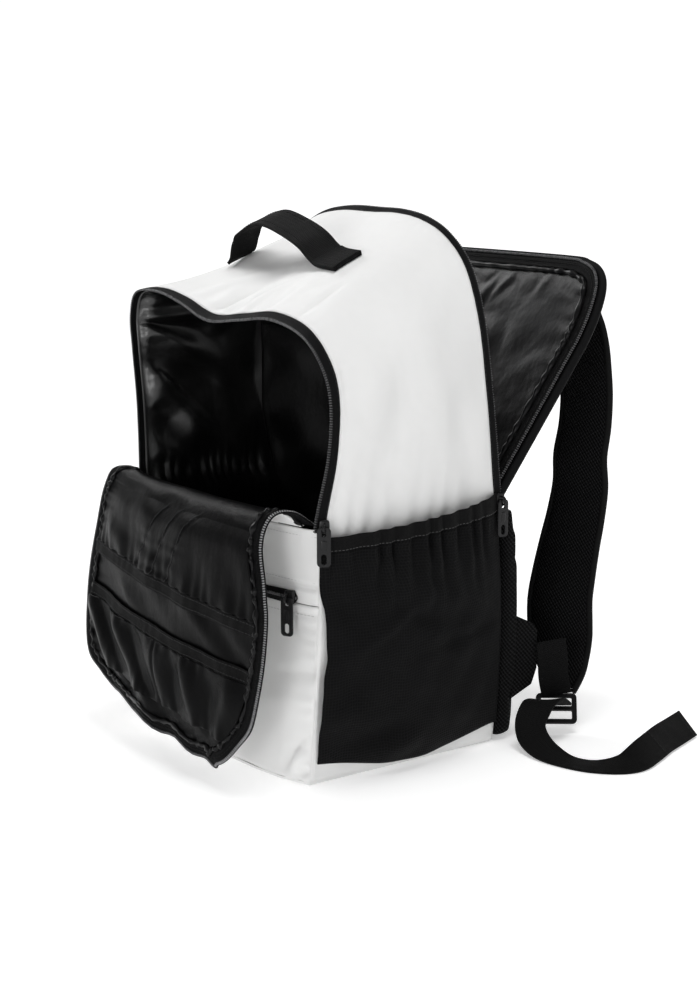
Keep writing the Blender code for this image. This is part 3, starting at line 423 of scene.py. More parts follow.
def through(rows, steps):
    """A Catmull-Rom curve through every row: a cubic whose slope at a row joins its two neighbours."""
    rows = np.asarray(rows, float)
    ends = np.vstack([2 * rows[0] - rows[1], rows, 2 * rows[-1] - rows[-2]])
    before, start, end, after = ends[:-3, None], ends[1:-2, None], ends[2:-1, None], ends[3:, None]
    t = (np.arange(steps) / steps)[None, :, None]
    bend = (2 * before - 5 * start + 4 * end - after) * t ** 2
    turn = (3 * start - before - 3 * end + after) * t ** 3
    curve = 0.5 * (2 * start + (end - before) * t + bend + turn)
    return np.vstack([curve.reshape(-1, rows.shape[1]), rows[-1:]])


def unit(vectors):
    """The vectors at length one."""
    return vectors / np.maximum(np.linalg.norm(vectors, axis=-1, keepdims=True), 1e-12)


def normals_of(grid):
    """The grid's normals: its slope along the rows crossed with its slope along the columns."""
    return unit(np.cross(np.gradient(grid, axis=0), np.gradient(grid, axis=1)))


def lifted(grid, distance):
    """The grid moved along its own normals by a distance, which may vary over it."""
    return grid + normals_of(grid) * np.asarray(distance, float)[..., None]


def smooth(value):
    """A step from 0 to 1 with soft ends: three squares less two cubes."""
    value = np.clip(value, 0.0, 1.0)
    return value * value * (3 - 2 * value)


def folds(first, second, rows):
    """The sum of the table's folds: each a bell along its length times a bell across its width."""
    height = np.zeros(np.broadcast(first, second).shape)
    for place, side, length, width, depth, slant in rows:
        along = (first - place) / length
        beside = (second - side - slant * length * along) / width
        height = height + depth * np.exp(-along ** 2 - beside ** 2)
    return height


def ripples(first, second, wave, seed, count=14):
    """Slack in cloth: sines of random heading and phase round one wave length, about one high."""
    draw = np.random.default_rng(seed)
    heading = draw.uniform(0, math.pi, count)
    phase = draw.uniform(0, 2 * math.pi, count)
    turns = 2 * math.pi / (wave * draw.uniform(0.7, 1.6, count))
    total = np.zeros(np.broadcast(first, second).shape)
    for angle, start, turn in zip(heading, phase, turns):
        total = total + np.sin((first * math.cos(angle) + second * math.sin(angle)) * turn + start)
    return total / math.sqrt(count / 2)


def puckers(run, away, pitch, reach, seed):
    """Gathers beside a seam: a sine of uneven pitch along it that dies away from it, one high."""
    draw = np.random.default_rng(seed)
    wander = np.zeros(np.shape(run))
    for turn in range(4):
        wave = 2 * math.pi / (pitch * (4 + 3 * turn))
        wander = wander + np.sin(run * wave + draw.uniform(0, 6)) * draw.uniform(0.8, 1.6)
    return np.sin(2 * math.pi * run / pitch + wander) * np.exp(-np.abs(away) / reach)


def runs(grid):
    """The metres run along the rows and along the columns of a grid, at its points."""
    down = np.linalg.norm(np.diff(grid, axis=0), axis=2)
    along = np.linalg.norm(np.diff(grid, axis=1), axis=2)
    down = np.vstack([np.zeros((1, grid.shape[1])), np.cumsum(down, axis=0)])
    along = np.hstack([np.zeros((grid.shape[0], 1)), np.cumsum(along, axis=1)])
    return down, along


def evenly(path, pitch, *others):
    """Points a pitch apart along a path, with other curves read at the same places."""
    step = np.linalg.norm(np.diff(path, axis=0), axis=1)
    run = np.concatenate([[0.0], np.cumsum(step)])
    count = max(2, int(round(run[-1] / pitch)))
    places = (np.arange(count) + 0.5) * run[-1] / count

    def read(curve):
        """The curve's value at each place."""
        return np.stack([np.interp(places, run, curve[:, k]) for k in range(3)], axis=-1)

    return [read(curve) for curve in (path, *others)]


# Shapes shared with the frame

def height(up, top):
    """A height from an up share: 0 floor, 1 hinge, 2 top."""
    floor = BASE_THICKNESS + GAP
    low = floor + (HINGE_HEIGHT - floor) * np.minimum(up, 1.0)
    return low + (top - HINGE_HEIGHT) * np.maximum(up - 1.0, 0.0)


def skin_curves():
    """The front edge, the rear edge, and the outward push between them, finely sampled."""
    fine = through(ARCH_ROWS, 24)
    half = BODY_WIDTH / 2
    deep = BODY_DEPTH / 2
    front = np.stack([fine[:, 0] * half, -fine[:, 2] * deep, height(fine[:, 1], FRONT_TOP)], axis=1)
    rear = np.stack([fine[:, 3] * half, fine[:, 5] * deep, height(fine[:, 4], REAR_TOP)], axis=1)
    run = np.gradient((front + rear) / 2, axis=0)
    outward = unit(np.stack([-run[:, 2], np.zeros(len(run)), run[:, 0]], axis=1))
    return front, rear, outward * (fine[:, 6] * BODY_DEPTH)[:, None]


SKIN = skin_curves()
SKIN_STATIONS = np.linspace(0, LAST_STATION, len(SKIN[0]))


def skin(station, back):
    """The bag's inner skin: straight from front edge to rear edge, plus four b (1 - b) of its puff."""
    station, back = np.broadcast_arrays(np.asarray(station, float), np.asarray(back, float))
    front, rear, puff = [
        np.stack([np.interp(station, SKIN_STATIONS, curve[:, k]) for k in range(3)], axis=-1)
        for curve in SKIN
    ]
    share = back[..., None]
    return front * (1 - share) + rear * share + puff * 4 * share * (1 - share)


def side_station(level, left=False, edge=0):
    """The arch station on one side where the front or rear edge has this height."""
    curve = SKIN[edge]
    if left:
        low = SKIN_STATIONS <= HINGE_LEFT + 1
        return np.interp(level, curve[low, 2], SKIN_STATIONS[low])
    low = SKIN_STATIONS >= HINGE_RIGHT - 1
    return np.interp(level, curve[low, 2][::-1], SKIN_STATIONS[low][::-1])


def front_wall(levels, share, wider=0.0):
    """The lower front: across shares between the corners, bowed by one less their fourth power."""
    corner = skin(side_station(levels), 0.0)
    x = share[:, None] * (corner[None, :, 0] - GAP + wider)
    bow = FRONT_BOW * (1 - np.abs(share) ** FRONT_BOW_POWER)
    y = np.broadcast_to(-BODY_DEPTH / 2 - GAP - bow[:, None], x.shape)
    return np.stack([x, y, np.broadcast_to(levels, x.shape)], axis=-1)


FLAP_PATH = through(FLAP_PATH_ROWS, 24) * np.array([FLAP_REACH, HINGE_HEIGHT])
FLAP_RUN = np.concatenate([[0.0], np.cumsum(np.hypot(*np.diff(FLAP_PATH, axis=0).T))])
FLAP_LENGTH = float(FLAP_RUN[-1])


def flap_place(across, down):
    """The flap's face: down its path, crowned by a cosine across, with a ruffled free edge."""
    settled = np.clip((down - FLAP_SKEW_FROM) / FLAP_SKEW_OVER, 0, 1)
    along = down + FLAP_SKEW * across * settled
    share = FLAP_RUN / FLAP_LENGTH
    place = np.stack([
        across * BODY_WIDTH / 2,
        -BODY_DEPTH / 2 - GAP - np.interp(along, share, FLAP_PATH[:, 0]),
        np.interp(along, share, FLAP_PATH[:, 1]) - np.maximum(along - 1.0, 0.0) * HINGE_HEIGHT,
    ], axis=-1)
    inner = np.clip(across, -1, 1)
    bow = FRONT_BOW * (1 - np.abs(inner) ** FRONT_BOW_POWER)
    crown = np.clip(down / FLAP_CROWN_FROM, 0, 1)
    place[..., 1] -= bow * (1 - crown) + FLAP_CROWN * np.cos(inner * math.pi / 2) * crown
    low = smooth((down - 0.66) / 0.30)
    wave = np.sin(across * 7.4 + 0.6) + 0.6 * np.sin(across * 15.0 + 2.2)
    place[..., 1] += sizes().flap_ruffle * wave * low
    place[..., 2] += sizes().flap_ruffle * 0.7 * np.sin(across * 17.0 + 0.4) * low
    place[..., 2] = np.maximum(place[..., 2], 0.0012)
    return place


def flap_lift(across, down, distance):
    """The flap's face moved out along its own slope: down its path crossed with across it."""
    step = 0.002
    over = flap_place(across + step, down) - flap_place(across - step, down)
    along = flap_place(across, down + step) - flap_place(across, down - step)
    normal = unit(np.cross(along, over))
    return flap_place(across, down) + normal * (np.asarray(distance) + 0.0 * down)[..., None]


def inset(outline, distance, scale):
    """An open outline moved inwards in its own flat sheet, whose shares have the given lengths."""
    flat = outline * scale
    run = unit(np.gradient(flat, axis=0))
    inward = np.stack([-run[:, 1], run[:, 0]], axis=1)
    centre = flat.mean(axis=0)
    inward = inward * np.sign(np.sum(inward * (centre - flat), axis=1, keepdims=True))
    return (flat + inward * distance) / scale


def flap_outline(distance, steps=12):
    """The flap's outline, moved in by a distance, from the left hinge round to the right hinge."""
    rows = np.vstack([FLAP_OUTLINE_ROWS[:, 0:2], FLAP_OUTLINE_ROWS[::-1, 2:4]])
    return inset(through(rows, steps), distance, np.array([BODY_WIDTH / 2, FLAP_LENGTH]))


def flap_shares(distance, columns, steps=12):
    """Across and down shares over the flap inside its outline, from the hinge down."""
    outline = flap_outline(distance, steps)
    count = len(outline) // 2 + 1
    left = outline[:count]
    right = outline[::-1][:count]
    share = np.linspace(0, 1, columns)
    across = left[:, None, 0] * (1 - share) + right[:, None, 0] * share
    down = left[:, None, 1] * (1 - share) + right[:, None, 1] * share
    return across, down


def flap_band(low, high, rows, columns, distance):
    """Across and down shares in a band across the flap between two places down it."""
    outline = flap_outline(distance, 8)
    count = len(outline) // 2
    down = np.linspace(low, high, rows)
    left = np.interp(down, outline[:count, 1], outline[:count, 0])
    right = np.interp(down, outline[::-1][:count, 1], outline[::-1][:count, 0])
    share = np.linspace(0, 1, columns)
    across = left[:, None] * (1 - share) + right[:, None] * share
    return across, np.broadcast_to(down[:, None], across.shape)


def rear_place(across, up, depth):
    """The leaning rear panel: across and up are lengths, depth is behind its face."""
    lean = math.radians(REAR_LEAN)
    hinge = skin(HINGE_RIGHT, 1.0)
    y = hinge[1] + TAPE_WIDTH * 0.1 + up * math.sin(lean) + depth * math.cos(lean)
    z = hinge[2] + up * math.cos(lean) - depth * math.sin(lean)
    return np.stack([across, y, z], axis=-1)


def rear_outline(distance, steps=12):
    """The rear panel's outline from the right hinge over its top to the left hinge, in lengths."""
    half = REAR_OUTLINE_ROWS * np.array([BODY_WIDTH / 2, REAR_PANEL_LENGTH])
    outline = through(np.vstack([half, half[::-1] * np.array([-1.0, 1.0])]), steps)
    return inset(outline, distance, np.array([1.0, 1.0]))


def rear_shares(distance, columns, steps=12):
    """Across and up lengths over the rear panel inside its outline, from the hinge up."""
    outline = rear_outline(distance, steps)
    count = len(outline) // 2 + 1
    right = outline[:count]
    left = outline[::-1][:count]
    share = np.linspace(0, 1, columns)
    across = left[:, None, 0] * (1 - share) + right[:, None, 0] * share
    up = left[:, None, 1] * (1 - share) + right[:, None, 1] * share
    return across, up


POCKET_EDGE = through(POCKET_EDGE_ROWS, 8)


def pocket_grid(low, high, rows, columns, left, depth):
    """A side pocket's cloth: the skin pushed out by a belly, a mouth, gathers and folds."""
    down = np.linspace(low, high, rows)[:, None]
    back = np.linspace(0.015, 1.004, columns)[None, :]
    ends = np.maximum(np.sin(math.pi * np.minimum(back / 0.99, 1.0)), 0.0)
    top = POCKET_TOP_FRONT + (POCKET_TOP_REAR - POCKET_TOP_FRONT) * back
    sag = 0.011 * ends ** 1.5 * smooth(1 - down / 0.35)
    level = POCKET_BOTTOM + (top - POCKET_BOTTOM) * down - sag
    near_front = 1 - smooth(back / 0.28)
    edge = np.interp(down, POCKET_EDGE[:, 0], POCKET_EDGE[:, 1]) - 0.015
    share = back + edge * near_front
    wrap = np.maximum(-share, 0.0)
    grid = skin(side_station(level, left), np.maximum(np.broadcast_to(share, level.shape), -0.013))
    inside = np.clip(down, 0, 1)
    belly = ends ** 0.6 * np.sin(math.pi * inside ** 0.8) * POCKET_BULGE
    mouth = ends ** 0.5 * inside ** 2 * POCKET_MOUTH
    run = back * BODY_DEPTH
    near = np.exp(-(np.maximum(1.0 - down, 0.0) / 0.22) ** 2)
    phase = 2 * math.pi * GATHER_COUNT * (back + 0.012 * np.sin(back * 23.0))
    gathers = depth * np.sin(phase) * near * ends ** 0.5
    fine = 0.3 * depth * np.sin(2.3 * phase + 1.0) * np.exp(-(np.maximum(1.0 - down, 0.0) / 0.1) ** 2)
    slack = 1.7 * folds(back, down, SIDE_FOLD_ROWS) * ends ** 0.3
    slack = slack + 0.0007 * ripples(run, level, 0.035, 7) * ends ** 0.5
    rim = smooth((1.06 - down) / 0.12)
    out = CLOTH + 2 * GAP + belly + mouth + gathers + (fine + slack) * rim + 0.006 * sag / 0.011
    out = out - wrap * BODY_DEPTH
    grid[..., 0] += -out if left else out
    return grid


# Objects

def surface(name, grid, finish, nodes=(), wall=0.0, side=1.0, body="bag", ring=False, slot=None):
    """A grid of points as one quad mesh, with a UV map in metres and a wall from Solidify.

    A ring joins its last column to its first, and its two ends are closed by a fan each.
    """
    rows, columns = grid.shape[:2]
    index = np.arange(rows * columns).reshape(rows, columns)
    if ring:
        index = np.hstack([index, index[:, :1]])
    corners = (index[:-1, :-1], index[1:, :-1], index[1:, 1:], index[:-1, 1:])
    faces = np.stack([corner.ravel() for corner in corners], axis=1).tolist()
    if ring:
        faces += [index[0, :-1].tolist(), index[-1, :-1][::-1].tolist()]
    mesh = bpy.data.meshes.new(name)
    mesh.from_pydata(grid.reshape(-1, 3).tolist(), [], faces)
    if not ring:
        down, along = runs(grid)
        flat = np.stack([along, down], axis=-1).reshape(-1, 2)
        corner = np.empty(len(mesh.loops), np.int32)
        mesh.loops.foreach_get("vertex_index", corner)
        mesh.uv_layers.new(name="cloth").data.foreach_set("uv", flat[corner].ravel())
    return settle(name, mesh, finish, nodes, wall, side, body, slot)


def settle(name, mesh, finish, nodes=(), wall=0.0, side=1.0, body="bag", slot=None):
    """A mesh as a named piece: its material, wall, body and the CAD nodes it stands for.

    Its slot, its material's own unless another is named, is looked up but given to nothing.
    """
    mesh.update()
    mesh.materials.clear()
    mesh.materials.append(finish_of(finish))
    mesh.shade_smooth()
    piece = bpy.data.objects.new(name, mesh)
    bpy.context.scene.collection.objects.link(piece)
    if wall:
        shell = piece.modifiers.new("wall", "SOLIDIFY")
        shell.thickness = wall
        shell.offset = side
    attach(piece, body)
    if nodes:
        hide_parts(*([nodes] if isinstance(nodes, str) else nodes))
    slot = slot or SLOTS.get(finish)
    return piece


def bead(sides=6):
    """A small rounded bar along its first axis: rings of one radius with narrower end rings."""
    rings = np.array([(-1.0, 0.45), (-0.7, 1.0), (0.7, 1.0), (1.0, 0.45)])
    turn = np.arange(sides) * 2 * math.pi / sides
    points = np.stack([
        np.repeat(rings[:, 0], sides),
        np.outer(rings[:, 1], np.cos(turn)).ravel(),
        np.outer(rings[:, 1], np.sin(turn)).ravel(),
    ], axis=1)
    index = np.arange(4 * sides).reshape(4, sides)
    index = np.hstack([index, index[:, :1]])
    corners = (index[:-1, :-1], index[:-1, 1:], index[1:, 1:], index[1:, :-1])
    quads = np.stack([corner.ravel() for corner in corners], axis=1)
    return points, quads, index[0, :-1][::-1], index[-1, :-1]


def strew(name, centres, first, second, third, size, finish):
    """One mesh of many small rounded bars, each on its own three axes, times its size."""
    points, quads, start, end = bead()
    axes = np.stack([first * size[0], second * size[1], third * size[2]], axis=1)
    places = centres[:, None, :] + np.einsum("pk,nkc->npc", points, axes)
    shift = (np.arange(len(centres)) * len(points))[:, None]
    faces = (quads.ravel()[None, :] + shift).reshape(-1, 4).tolist()
    faces += (start[None, :] + shift).tolist() + (end[None, :] + shift).tolist()
    mesh = bpy.data.meshes.new(name)
    mesh.from_pydata(places.reshape(-1, 3).tolist(), [], faces)
    return settle(name, mesh, finish)


def framed(path, normal):
    """The tangent, the sideways direction and the normal along a path, square to each other."""
    tangent = unit(np.gradient(path, axis=0))
    beside = unit(np.cross(normal, tangent))
    return tangent, beside, unit(np.cross(tangent, beside))


def teeth(name, path, normal, finish):
    """A zip's row of coil teeth along a tape's edge, each a small bar across the run."""
    places, up = evenly(path, sizes().tooth_pitch, normal)
    tangent, beside, out = framed(places, up)
    size = (0.0012, sizes().tooth_pitch * 0.31, 0.0009)
    return strew(name, places, beside, tangent, out, size, finish)


def stitches(name, rows, finish, length=0.0026, gap=0.0009, thick=0.00028):
    """Thread stitches: short bars along each path, standing half their thickness out of the cloth."""
    found = []
    for path, normal in rows:
        places, up = evenly(path, length + gap, normal)
        found.append((places, *framed(places, up)))
    places, tangent, beside, out = [np.vstack(part) for part in zip(*found)]
    size = (length / 2, thick, thick)
    return strew(name, places, tangent, beside, out, size, finish)


def tube(name, path, radius, finish, sides, hint, slot=None):
    """A round tube along a path: a circle in the plane square to it at every point."""
    radius = np.broadcast_to(np.asarray(radius, float), (len(path), sides))
    beside, out = framed(path, np.broadcast_to(np.asarray(hint, float), path.shape))[1:]
    turn = np.arange(sides) * 2 * math.pi / sides
    ring = beside[:, None] * np.cos(turn)[:, None] + out[:, None] * np.sin(turn)[:, None]
    grid = path[:, None] + ring * radius[..., None]
    return surface(name, grid, finish, slot=slot, ring=True)


def band_grid(path, across, width, columns):
    """A band along a path: the cross direction squared to the run, times its width."""
    tangent = unit(np.gradient(path, axis=0))
    across = unit(across - tangent * np.sum(across * tangent, axis=1, keepdims=True))
    share = np.linspace(-0.5, 0.5, columns)
    width = np.broadcast_to(np.asarray(width, float), len(path))
    return path[:, None, :] + across[:, None, :] * (share[None, :] * width[:, None])[..., None]


def across_from(heading, lift):
    """Unit directions from a heading round Z and a lift, both in degrees."""
    turn = np.radians(heading)
    rise = np.radians(lift)
    return np.stack([np.cos(turn) * np.cos(rise), np.sin(turn) * np.cos(rise), np.sin(rise)], axis=-1)


def raised(points, normal, distance):
    """A line stood off a surface along its normals, with those normals, for stitches."""
    return points + normal * distance, normal


def plate(name, loops, thickness, edge, place, finish, nodes=(), body="bag"):
    """A flat plate from closed outlines, holes included, with round edges, put in a frame."""
    curve = bpy.data.curves.new(name, "CURVE")
    curve.dimensions = "2D"
    curve.fill_mode = "BOTH"
    curve.bevel_depth = edge
    curve.bevel_resolution = 2
    curve.offset = -edge
    curve.extrude = thickness / 2 - edge
    for loop in loops:
        spline = curve.splines.new("POLY")
        spline.points.add(len(loop) - 1)
        flat = np.column_stack([loop, np.zeros(len(loop)), np.ones(len(loop))])
        spline.points.foreach_set("co", flat.ravel())
        spline.use_cyclic_u = True
    guide = bpy.data.objects.new(name + "_outline", curve)
    bpy.context.scene.collection.objects.link(guide)
    mesh = evaluated(guide)
    bpy.data.objects.remove(guide)
    mesh.transform(place)
    piece = settle(name, mesh, finish, nodes, body=body)
    mesh.set_sharp_from_angle(angle=math.radians(50))
    return piece


def evaluated(piece):
    """The piece's mesh as the viewport shows it."""
    bpy.context.view_layer.update()
    graph = bpy.context.evaluated_depsgraph_get()
    return bpy.data.meshes.new_from_object(piece.evaluated_get(graph))


def rounded_box(width, length, radius, centre=0.0, steps=6):
    """A rectangle's outline with round corners."""
    turn = (np.arange(4)[:, None] + np.linspace(0, 1, steps + 1)[None, :]) * math.pi / 2
    side_x = np.array([1, -1, -1, 1])[:, None] * (width / 2 - radius)
    side_y = np.array([1, 1, -1, -1])[:, None] * (length / 2 - radius) + centre
    points = np.stack([side_x + radius * np.cos(turn), side_y + radius * np.sin(turn)], axis=-1)
    return points.reshape(-1, 2)


def swell(piece, voxel, pressure, cap, pinned):
    """Simulates padding: an even, softened mesh, cloth under pressure with its seams pinned, and a
    move no longer than the cap.
    """
    remesh = piece.modifiers.new("even_faces", "REMESH")
    remesh.mode = "VOXEL"
    remesh.voxel_size = voxel
    soften = piece.modifiers.new("soften", "SMOOTH")
    soften.factor = 0.5
    soften.iterations = 5
    mesh = evaluated(piece)
    piece.modifiers.clear()
    old = piece.data
    finish = old.materials[0]
    piece.data = mesh
    bpy.data.meshes.remove(old)
    mesh.materials.clear()
    mesh.materials.append(finish)
    rest = np.empty(len(mesh.vertices) * 3, np.float32)
    mesh.vertices.foreach_get("co", rest)
    rest = rest.reshape(-1, 3).astype(float)
    group = piece.vertex_groups.new(name="seam")
    for number in np.flatnonzero(pinned(rest)).tolist():
        group.add([number], 1.0, "REPLACE")
    cloth = piece.modifiers.new("padding", "CLOTH")
    cloth.settings.quality = 4
    cloth.settings.mass = 0.25
    cloth.settings.tension_stiffness = 12
    cloth.settings.compression_stiffness = 12
    cloth.settings.bending_stiffness = 0.8
    cloth.settings.use_pressure = True
    cloth.settings.uniform_pressure_force = pressure
    cloth.settings.vertex_group_mass = group.name
    cloth.settings.effector_weights.gravity = 0.0
    cloth.point_cache.frame_start = 1
    cloth.point_cache.frame_end = PADDING_FRAMES
    scene = bpy.context.scene
    for number in range(1, PADDING_FRAMES + 1):
        scene.frame_set(number)
    swollen = evaluated(piece)
    moved = np.empty(len(swollen.vertices) * 3, np.float32)
    swollen.vertices.foreach_get("co", moved)
    move = moved.reshape(-1, 3) - rest
    reach = np.linalg.norm(move, axis=1, keepdims=True)
    move = move * np.minimum(1.0, cap / np.maximum(reach, 1e-9))
    piece.modifiers.clear()
    piece.vertex_groups.clear()
    bpy.data.meshes.remove(swollen)
    mesh.vertices.foreach_set("co", (rest + move).astype(np.float32).ravel())
    scene.frame_set(1)
    mesh.update()
    mesh.shade_smooth()
    finer = piece.modifiers.new("finer", "SUBSURF")
    finer.levels = 1
    finer.render_levels = 1
    return piece


# Materials

def feed(tree, socket, value):
    """Puts a value, or a link from a field, into a socket."""
    if isinstance(value, Field):
        tree.links.new(value.socket, socket)
    else:
        socket.default_value = value


def maths(tree, operation, *values):
    """One Math node on values and fields."""
    node = tree.nodes.new("ShaderNodeMath")
    node.operation = operation
    for socket, value in zip(node.inputs, values):
        feed(tree, socket, value)
    return Field(tree, node.outputs[0])


class Field:
    """A number that varies over the surface: a socket that takes part in Python arithmetic."""

    def __init__(self, tree, socket):
        self.tree = tree
        self.socket = socket

    def __add__(self, other):
        return maths(self.tree, "ADD", self, other)

    def __radd__(self, other):
        return maths(self.tree, "ADD", other, self)

    def __sub__(self, other):
        return maths(self.tree, "SUBTRACT", self, other)

    def __rsub__(self, other):
        return maths(self.tree, "SUBTRACT", other, self)

    def __mul__(self, other):
        return maths(self.tree, "MULTIPLY", self, other)

    def __rmul__(self, other):
        return maths(self.tree, "MULTIPLY", other, self)

    def sine(self):
        """Its sine."""
        return maths(self.tree, "SINE", self)

    def size(self):
        """Its absolute value."""
        return maths(self.tree, "ABSOLUTE", self)

    def zigzag(self, pitch):
        """A zigzag of it, from 0 up to the pitch and back."""
        return maths(self.tree, "PINGPONG", self, pitch)

    def top(self, other):
        """The larger of the two."""
        return maths(self.tree, "MAXIMUM", self, other)

    def bottom(self, other):
        """The smaller of the two."""
        return maths(self.tree, "MINIMUM", self, other)

    def power(self, other):
        """It to a power."""
        return maths(self.tree, "POWER", self, other)


class Finish:
    """One material: its Principled shader and the nodes that feed it."""

    def __init__(self, name, **fixed):
        self.material = bpy.data.materials.new(name)
        self.material.use_nodes = True
        self.tree = self.material.node_tree
        self.shader = self.tree.nodes["Principled BSDF"]
        for socket, value in fixed.items():
            self.shader.inputs[socket.replace("_", " ")].default_value = value

    def node(self, kind, settings=None, sockets=None, out=0):
        """Any node: its settings first, then its sockets; gives one output."""
        made = self.tree.nodes.new(kind)
        for key, value in (settings or {}).items():
            setattr(made, key, value)
        for key, value in (sockets or {}).items():
            feed(self.tree, made.inputs[key], value)
        return Field(self.tree, made.outputs[out])

    def cloth_place(self):
        """Metres across and along the cloth, from the piece's UV map."""
        place = self.node("ShaderNodeTexCoord", out=2)
        return [self.node("ShaderNodeSeparateXYZ", None, {0: place}, k) for k in range(2)]

    def object_place(self):
        """The place on the piece in metres."""
        place = self.node("ShaderNodeTexCoord", out=3)
        return [self.node("ShaderNodeSeparateXYZ", None, {0: place}, k) for k in range(3)]

    def noise(self, scale, detail=3.0, stretch=(1.0, 1.0, 1.0)):
        """Soft noise over the piece, from 0 to 1, with its scale stretched along each axis."""
        place = self.node("ShaderNodeTexCoord", out=3)
        place = self.node("ShaderNodeMapping", None, {"Vector": place, "Scale": stretch})
        return self.node(
            "ShaderNodeTexNoise", None, {"Vector": place, "Scale": scale, "Detail": detail}
        )

    def colour(self, dark, light, share):
        """The base colour, mixed from dark to light by a field."""
        mixed = self.node(
            "ShaderNodeMix", {"data_type": "RGBA"}, {0: share, 6: (*dark, 1.0), 7: (*light, 1.0)}, 2
        )
        feed(self.tree, self.shader.inputs["Base Color"], mixed)

    def relief(self, *layers):
        """Bumps, each a height field with its depth in metres, one on top of the other."""
        normal = None
        for height_, depth in layers:
            sockets = {"Height": height_, "Distance": depth, "Strength": 1.0}
            if normal:
                sockets["Normal"] = normal
            normal = self.node("ShaderNodeBump", None, sockets)
        feed(self.tree, self.shader.inputs["Normal"], normal)


def tinted(colour, share):
    """A colour made lighter or darker by a share."""
    return tuple(min(1.0, part * share) for part in colour)


def white_polyester():
    """Matt white woven polyester: a fine plain weave, soft slack and a faint change of tone."""
    finish = Finish("white_polyester", Sheen_Weight=0.05, Sheen_Roughness=0.6, Specular_IOR_Level=0.2)
    across, along = finish.cloth_place()
    pitch = 2 * math.pi / sizes().weave_pitch
    weave = (across * pitch).sine() * (along * pitch).sine()
    soft = finish.noise(26.0, 2.0)
    fine = finish.noise(900.0, 2.0)
    tone = sizes().white_colour
    finish.colour(tinted(tone, 0.965), tinted(tone, 1.0), finish.noise(12.0, 4.0))
    feed(finish.tree, finish.shader.inputs["Roughness"], 0.62 + 0.1 * fine)
    finish.relief((soft, 0.0030), (weave, 0.00005), (fine, 0.00008))
    return finish.material


def satin(name, share=1.0, crease=0.0012, gloss=0.20, left_sheen=False):
    """Black lining satin: smooth, with fine twill lines and soft creases that catch the light.

    Asked for, a clear coat that grows towards the bag's left wall paints sheen there: brighter highlights
    on that wall than on the rest of the lining.
    """
    finish = Finish(name, Specular_IOR_Level=gloss)
    across, along = finish.cloth_place()
    twill = ((across + along) * (2 * math.pi / 0.0006)).sine()
    creases = finish.noise(55.0, 3.0, (1.0, 1.0, 0.6))
    fine = finish.noise(420.0, 3.0)
    # A share below one gives a darker copy of the same satin, as painted shade.
    tone = tinted(sizes().satin_colour, share)
    finish.colour(tinted(tone, 0.75), tinted(tone, 1.25), fine)
    feed(finish.tree, finish.shader.inputs["Roughness"], 0.26 + 0.12 * creases)
    finish.relief((creases, crease), (twill, 0.00002))
    if left_sheen:
        # Painted sheen: a coat that grows towards the bag's left wall brightens its highlights.
        painted_sheen = (finish.object_place()[0] * -12.0 - 0.2).top(0.0).bottom(1.0)
        finish.shader.inputs["Coat Roughness"].default_value = 0.3
        feed(finish.tree, finish.shader.inputs["Coat Weight"], painted_sheen)
    return finish.material


def ripstop():
    """The side pockets' cloth: a small grid of thicker threads over a fine weave."""
    finish = Finish("pocket_ripstop", Specular_IOR_Level=0.04, Sheen_Weight=0.01, Sheen_Roughness=0.5)
    across, along = finish.cloth_place()
    cell = 0.0024
    first = (1.0 - across.zigzag(cell / 2) * (2 / cell)).power(3.0)
    second = (1.0 - along.zigzag(cell / 2) * (2 / cell)).power(3.0)
    grid = first.top(second)
    soft = finish.noise(60.0, 3.0)
    tone = sizes().mesh_colour
    finish.colour(tinted(tone, 0.7), tinted(tone, 2.1), grid * 0.75 + 0.25 * soft)
    feed(finish.tree, finish.shader.inputs["Roughness"], 0.75 - 0.15 * grid)
    finish.relief((soft, 0.0012), (grid, 0.00022))
    return finish.material


def air_mesh():
    """Padded spacer mesh: slanted rows of small holes between raised threads."""
    finish = Finish("air_mesh", Specular_IOR_Level=0.05, Sheen_Weight=0.01, Sheen_Roughness=0.5)
    across, back, up = finish.object_place()
    slant = (across + back) * 0.8
    pitch = 2 * math.pi / sizes().mesh_pitch
    first = ((slant + up * 0.75) * pitch).sine()
    second = ((slant - up * 1.6) * (pitch * 0.6)).sine()
    holes = (first * 0.65 + second * 0.35).top(-0.45)
    soft = finish.noise(40.0, 3.0)
    tone = sizes().mesh_colour
    finish.colour(tinted(tone, 0.15), tinted(tone, 3.2), holes * 0.75 + 0.3)
    feed(finish.tree, finish.shader.inputs["Roughness"], 0.62 + 0.25 * soft)
    finish.relief((soft, 0.0015), (holes, 0.00055))
    return finish.material


def webbing(name="black_webbing", pitch=0.0016):
    """Woven strap: ribs across the run that turn at every few millimetres, as a chevron."""
    finish = Finish(name, Specular_IOR_Level=0.07, Sheen_Weight=0.01, Sheen_Roughness=0.45)
    across, along = finish.cloth_place()
    chevron = across.zigzag(0.0018)
    ribs = ((along + chevron * 0.6) * (2 * math.pi / pitch)).sine()
    lengthwise = (across * (2 * math.pi / 0.0011)).sine()
    soft = finish.noise(80.0, 3.0)
    tone = sizes().webbing_colour
    finish.colour(tinted(tone, 0.55), tinted(tone, 1.7), ribs * 0.35 + lengthwise * 0.15 + 0.5)
    feed(finish.tree, finish.shader.inputs["Roughness"], 0.58 + 0.2 * soft)
    finish.relief((soft, 0.0006), (ribs + lengthwise * 0.5, 0.00016))
    return finish.material


def zip_tape():
    """Woven zip tape: a fine herringbone."""
    finish = Finish("zip_tape", Specular_IOR_Level=0.06)
    across, along = finish.cloth_place()
    weave = ((along + across.zigzag(0.0012)) * (2 * math.pi / 0.0008)).sine()
    soft = finish.noise(120.0, 3.0)
    tone = sizes().tape_colour
    finish.colour(tinted(tone, 0.7), tinted(tone, 1.4), soft)
    feed(finish.tree, finish.shader.inputs["Roughness"], 0.55 + 0.2 * soft)
    finish.relief((weave, 0.00008), (soft, 0.0003))
    return finish.material


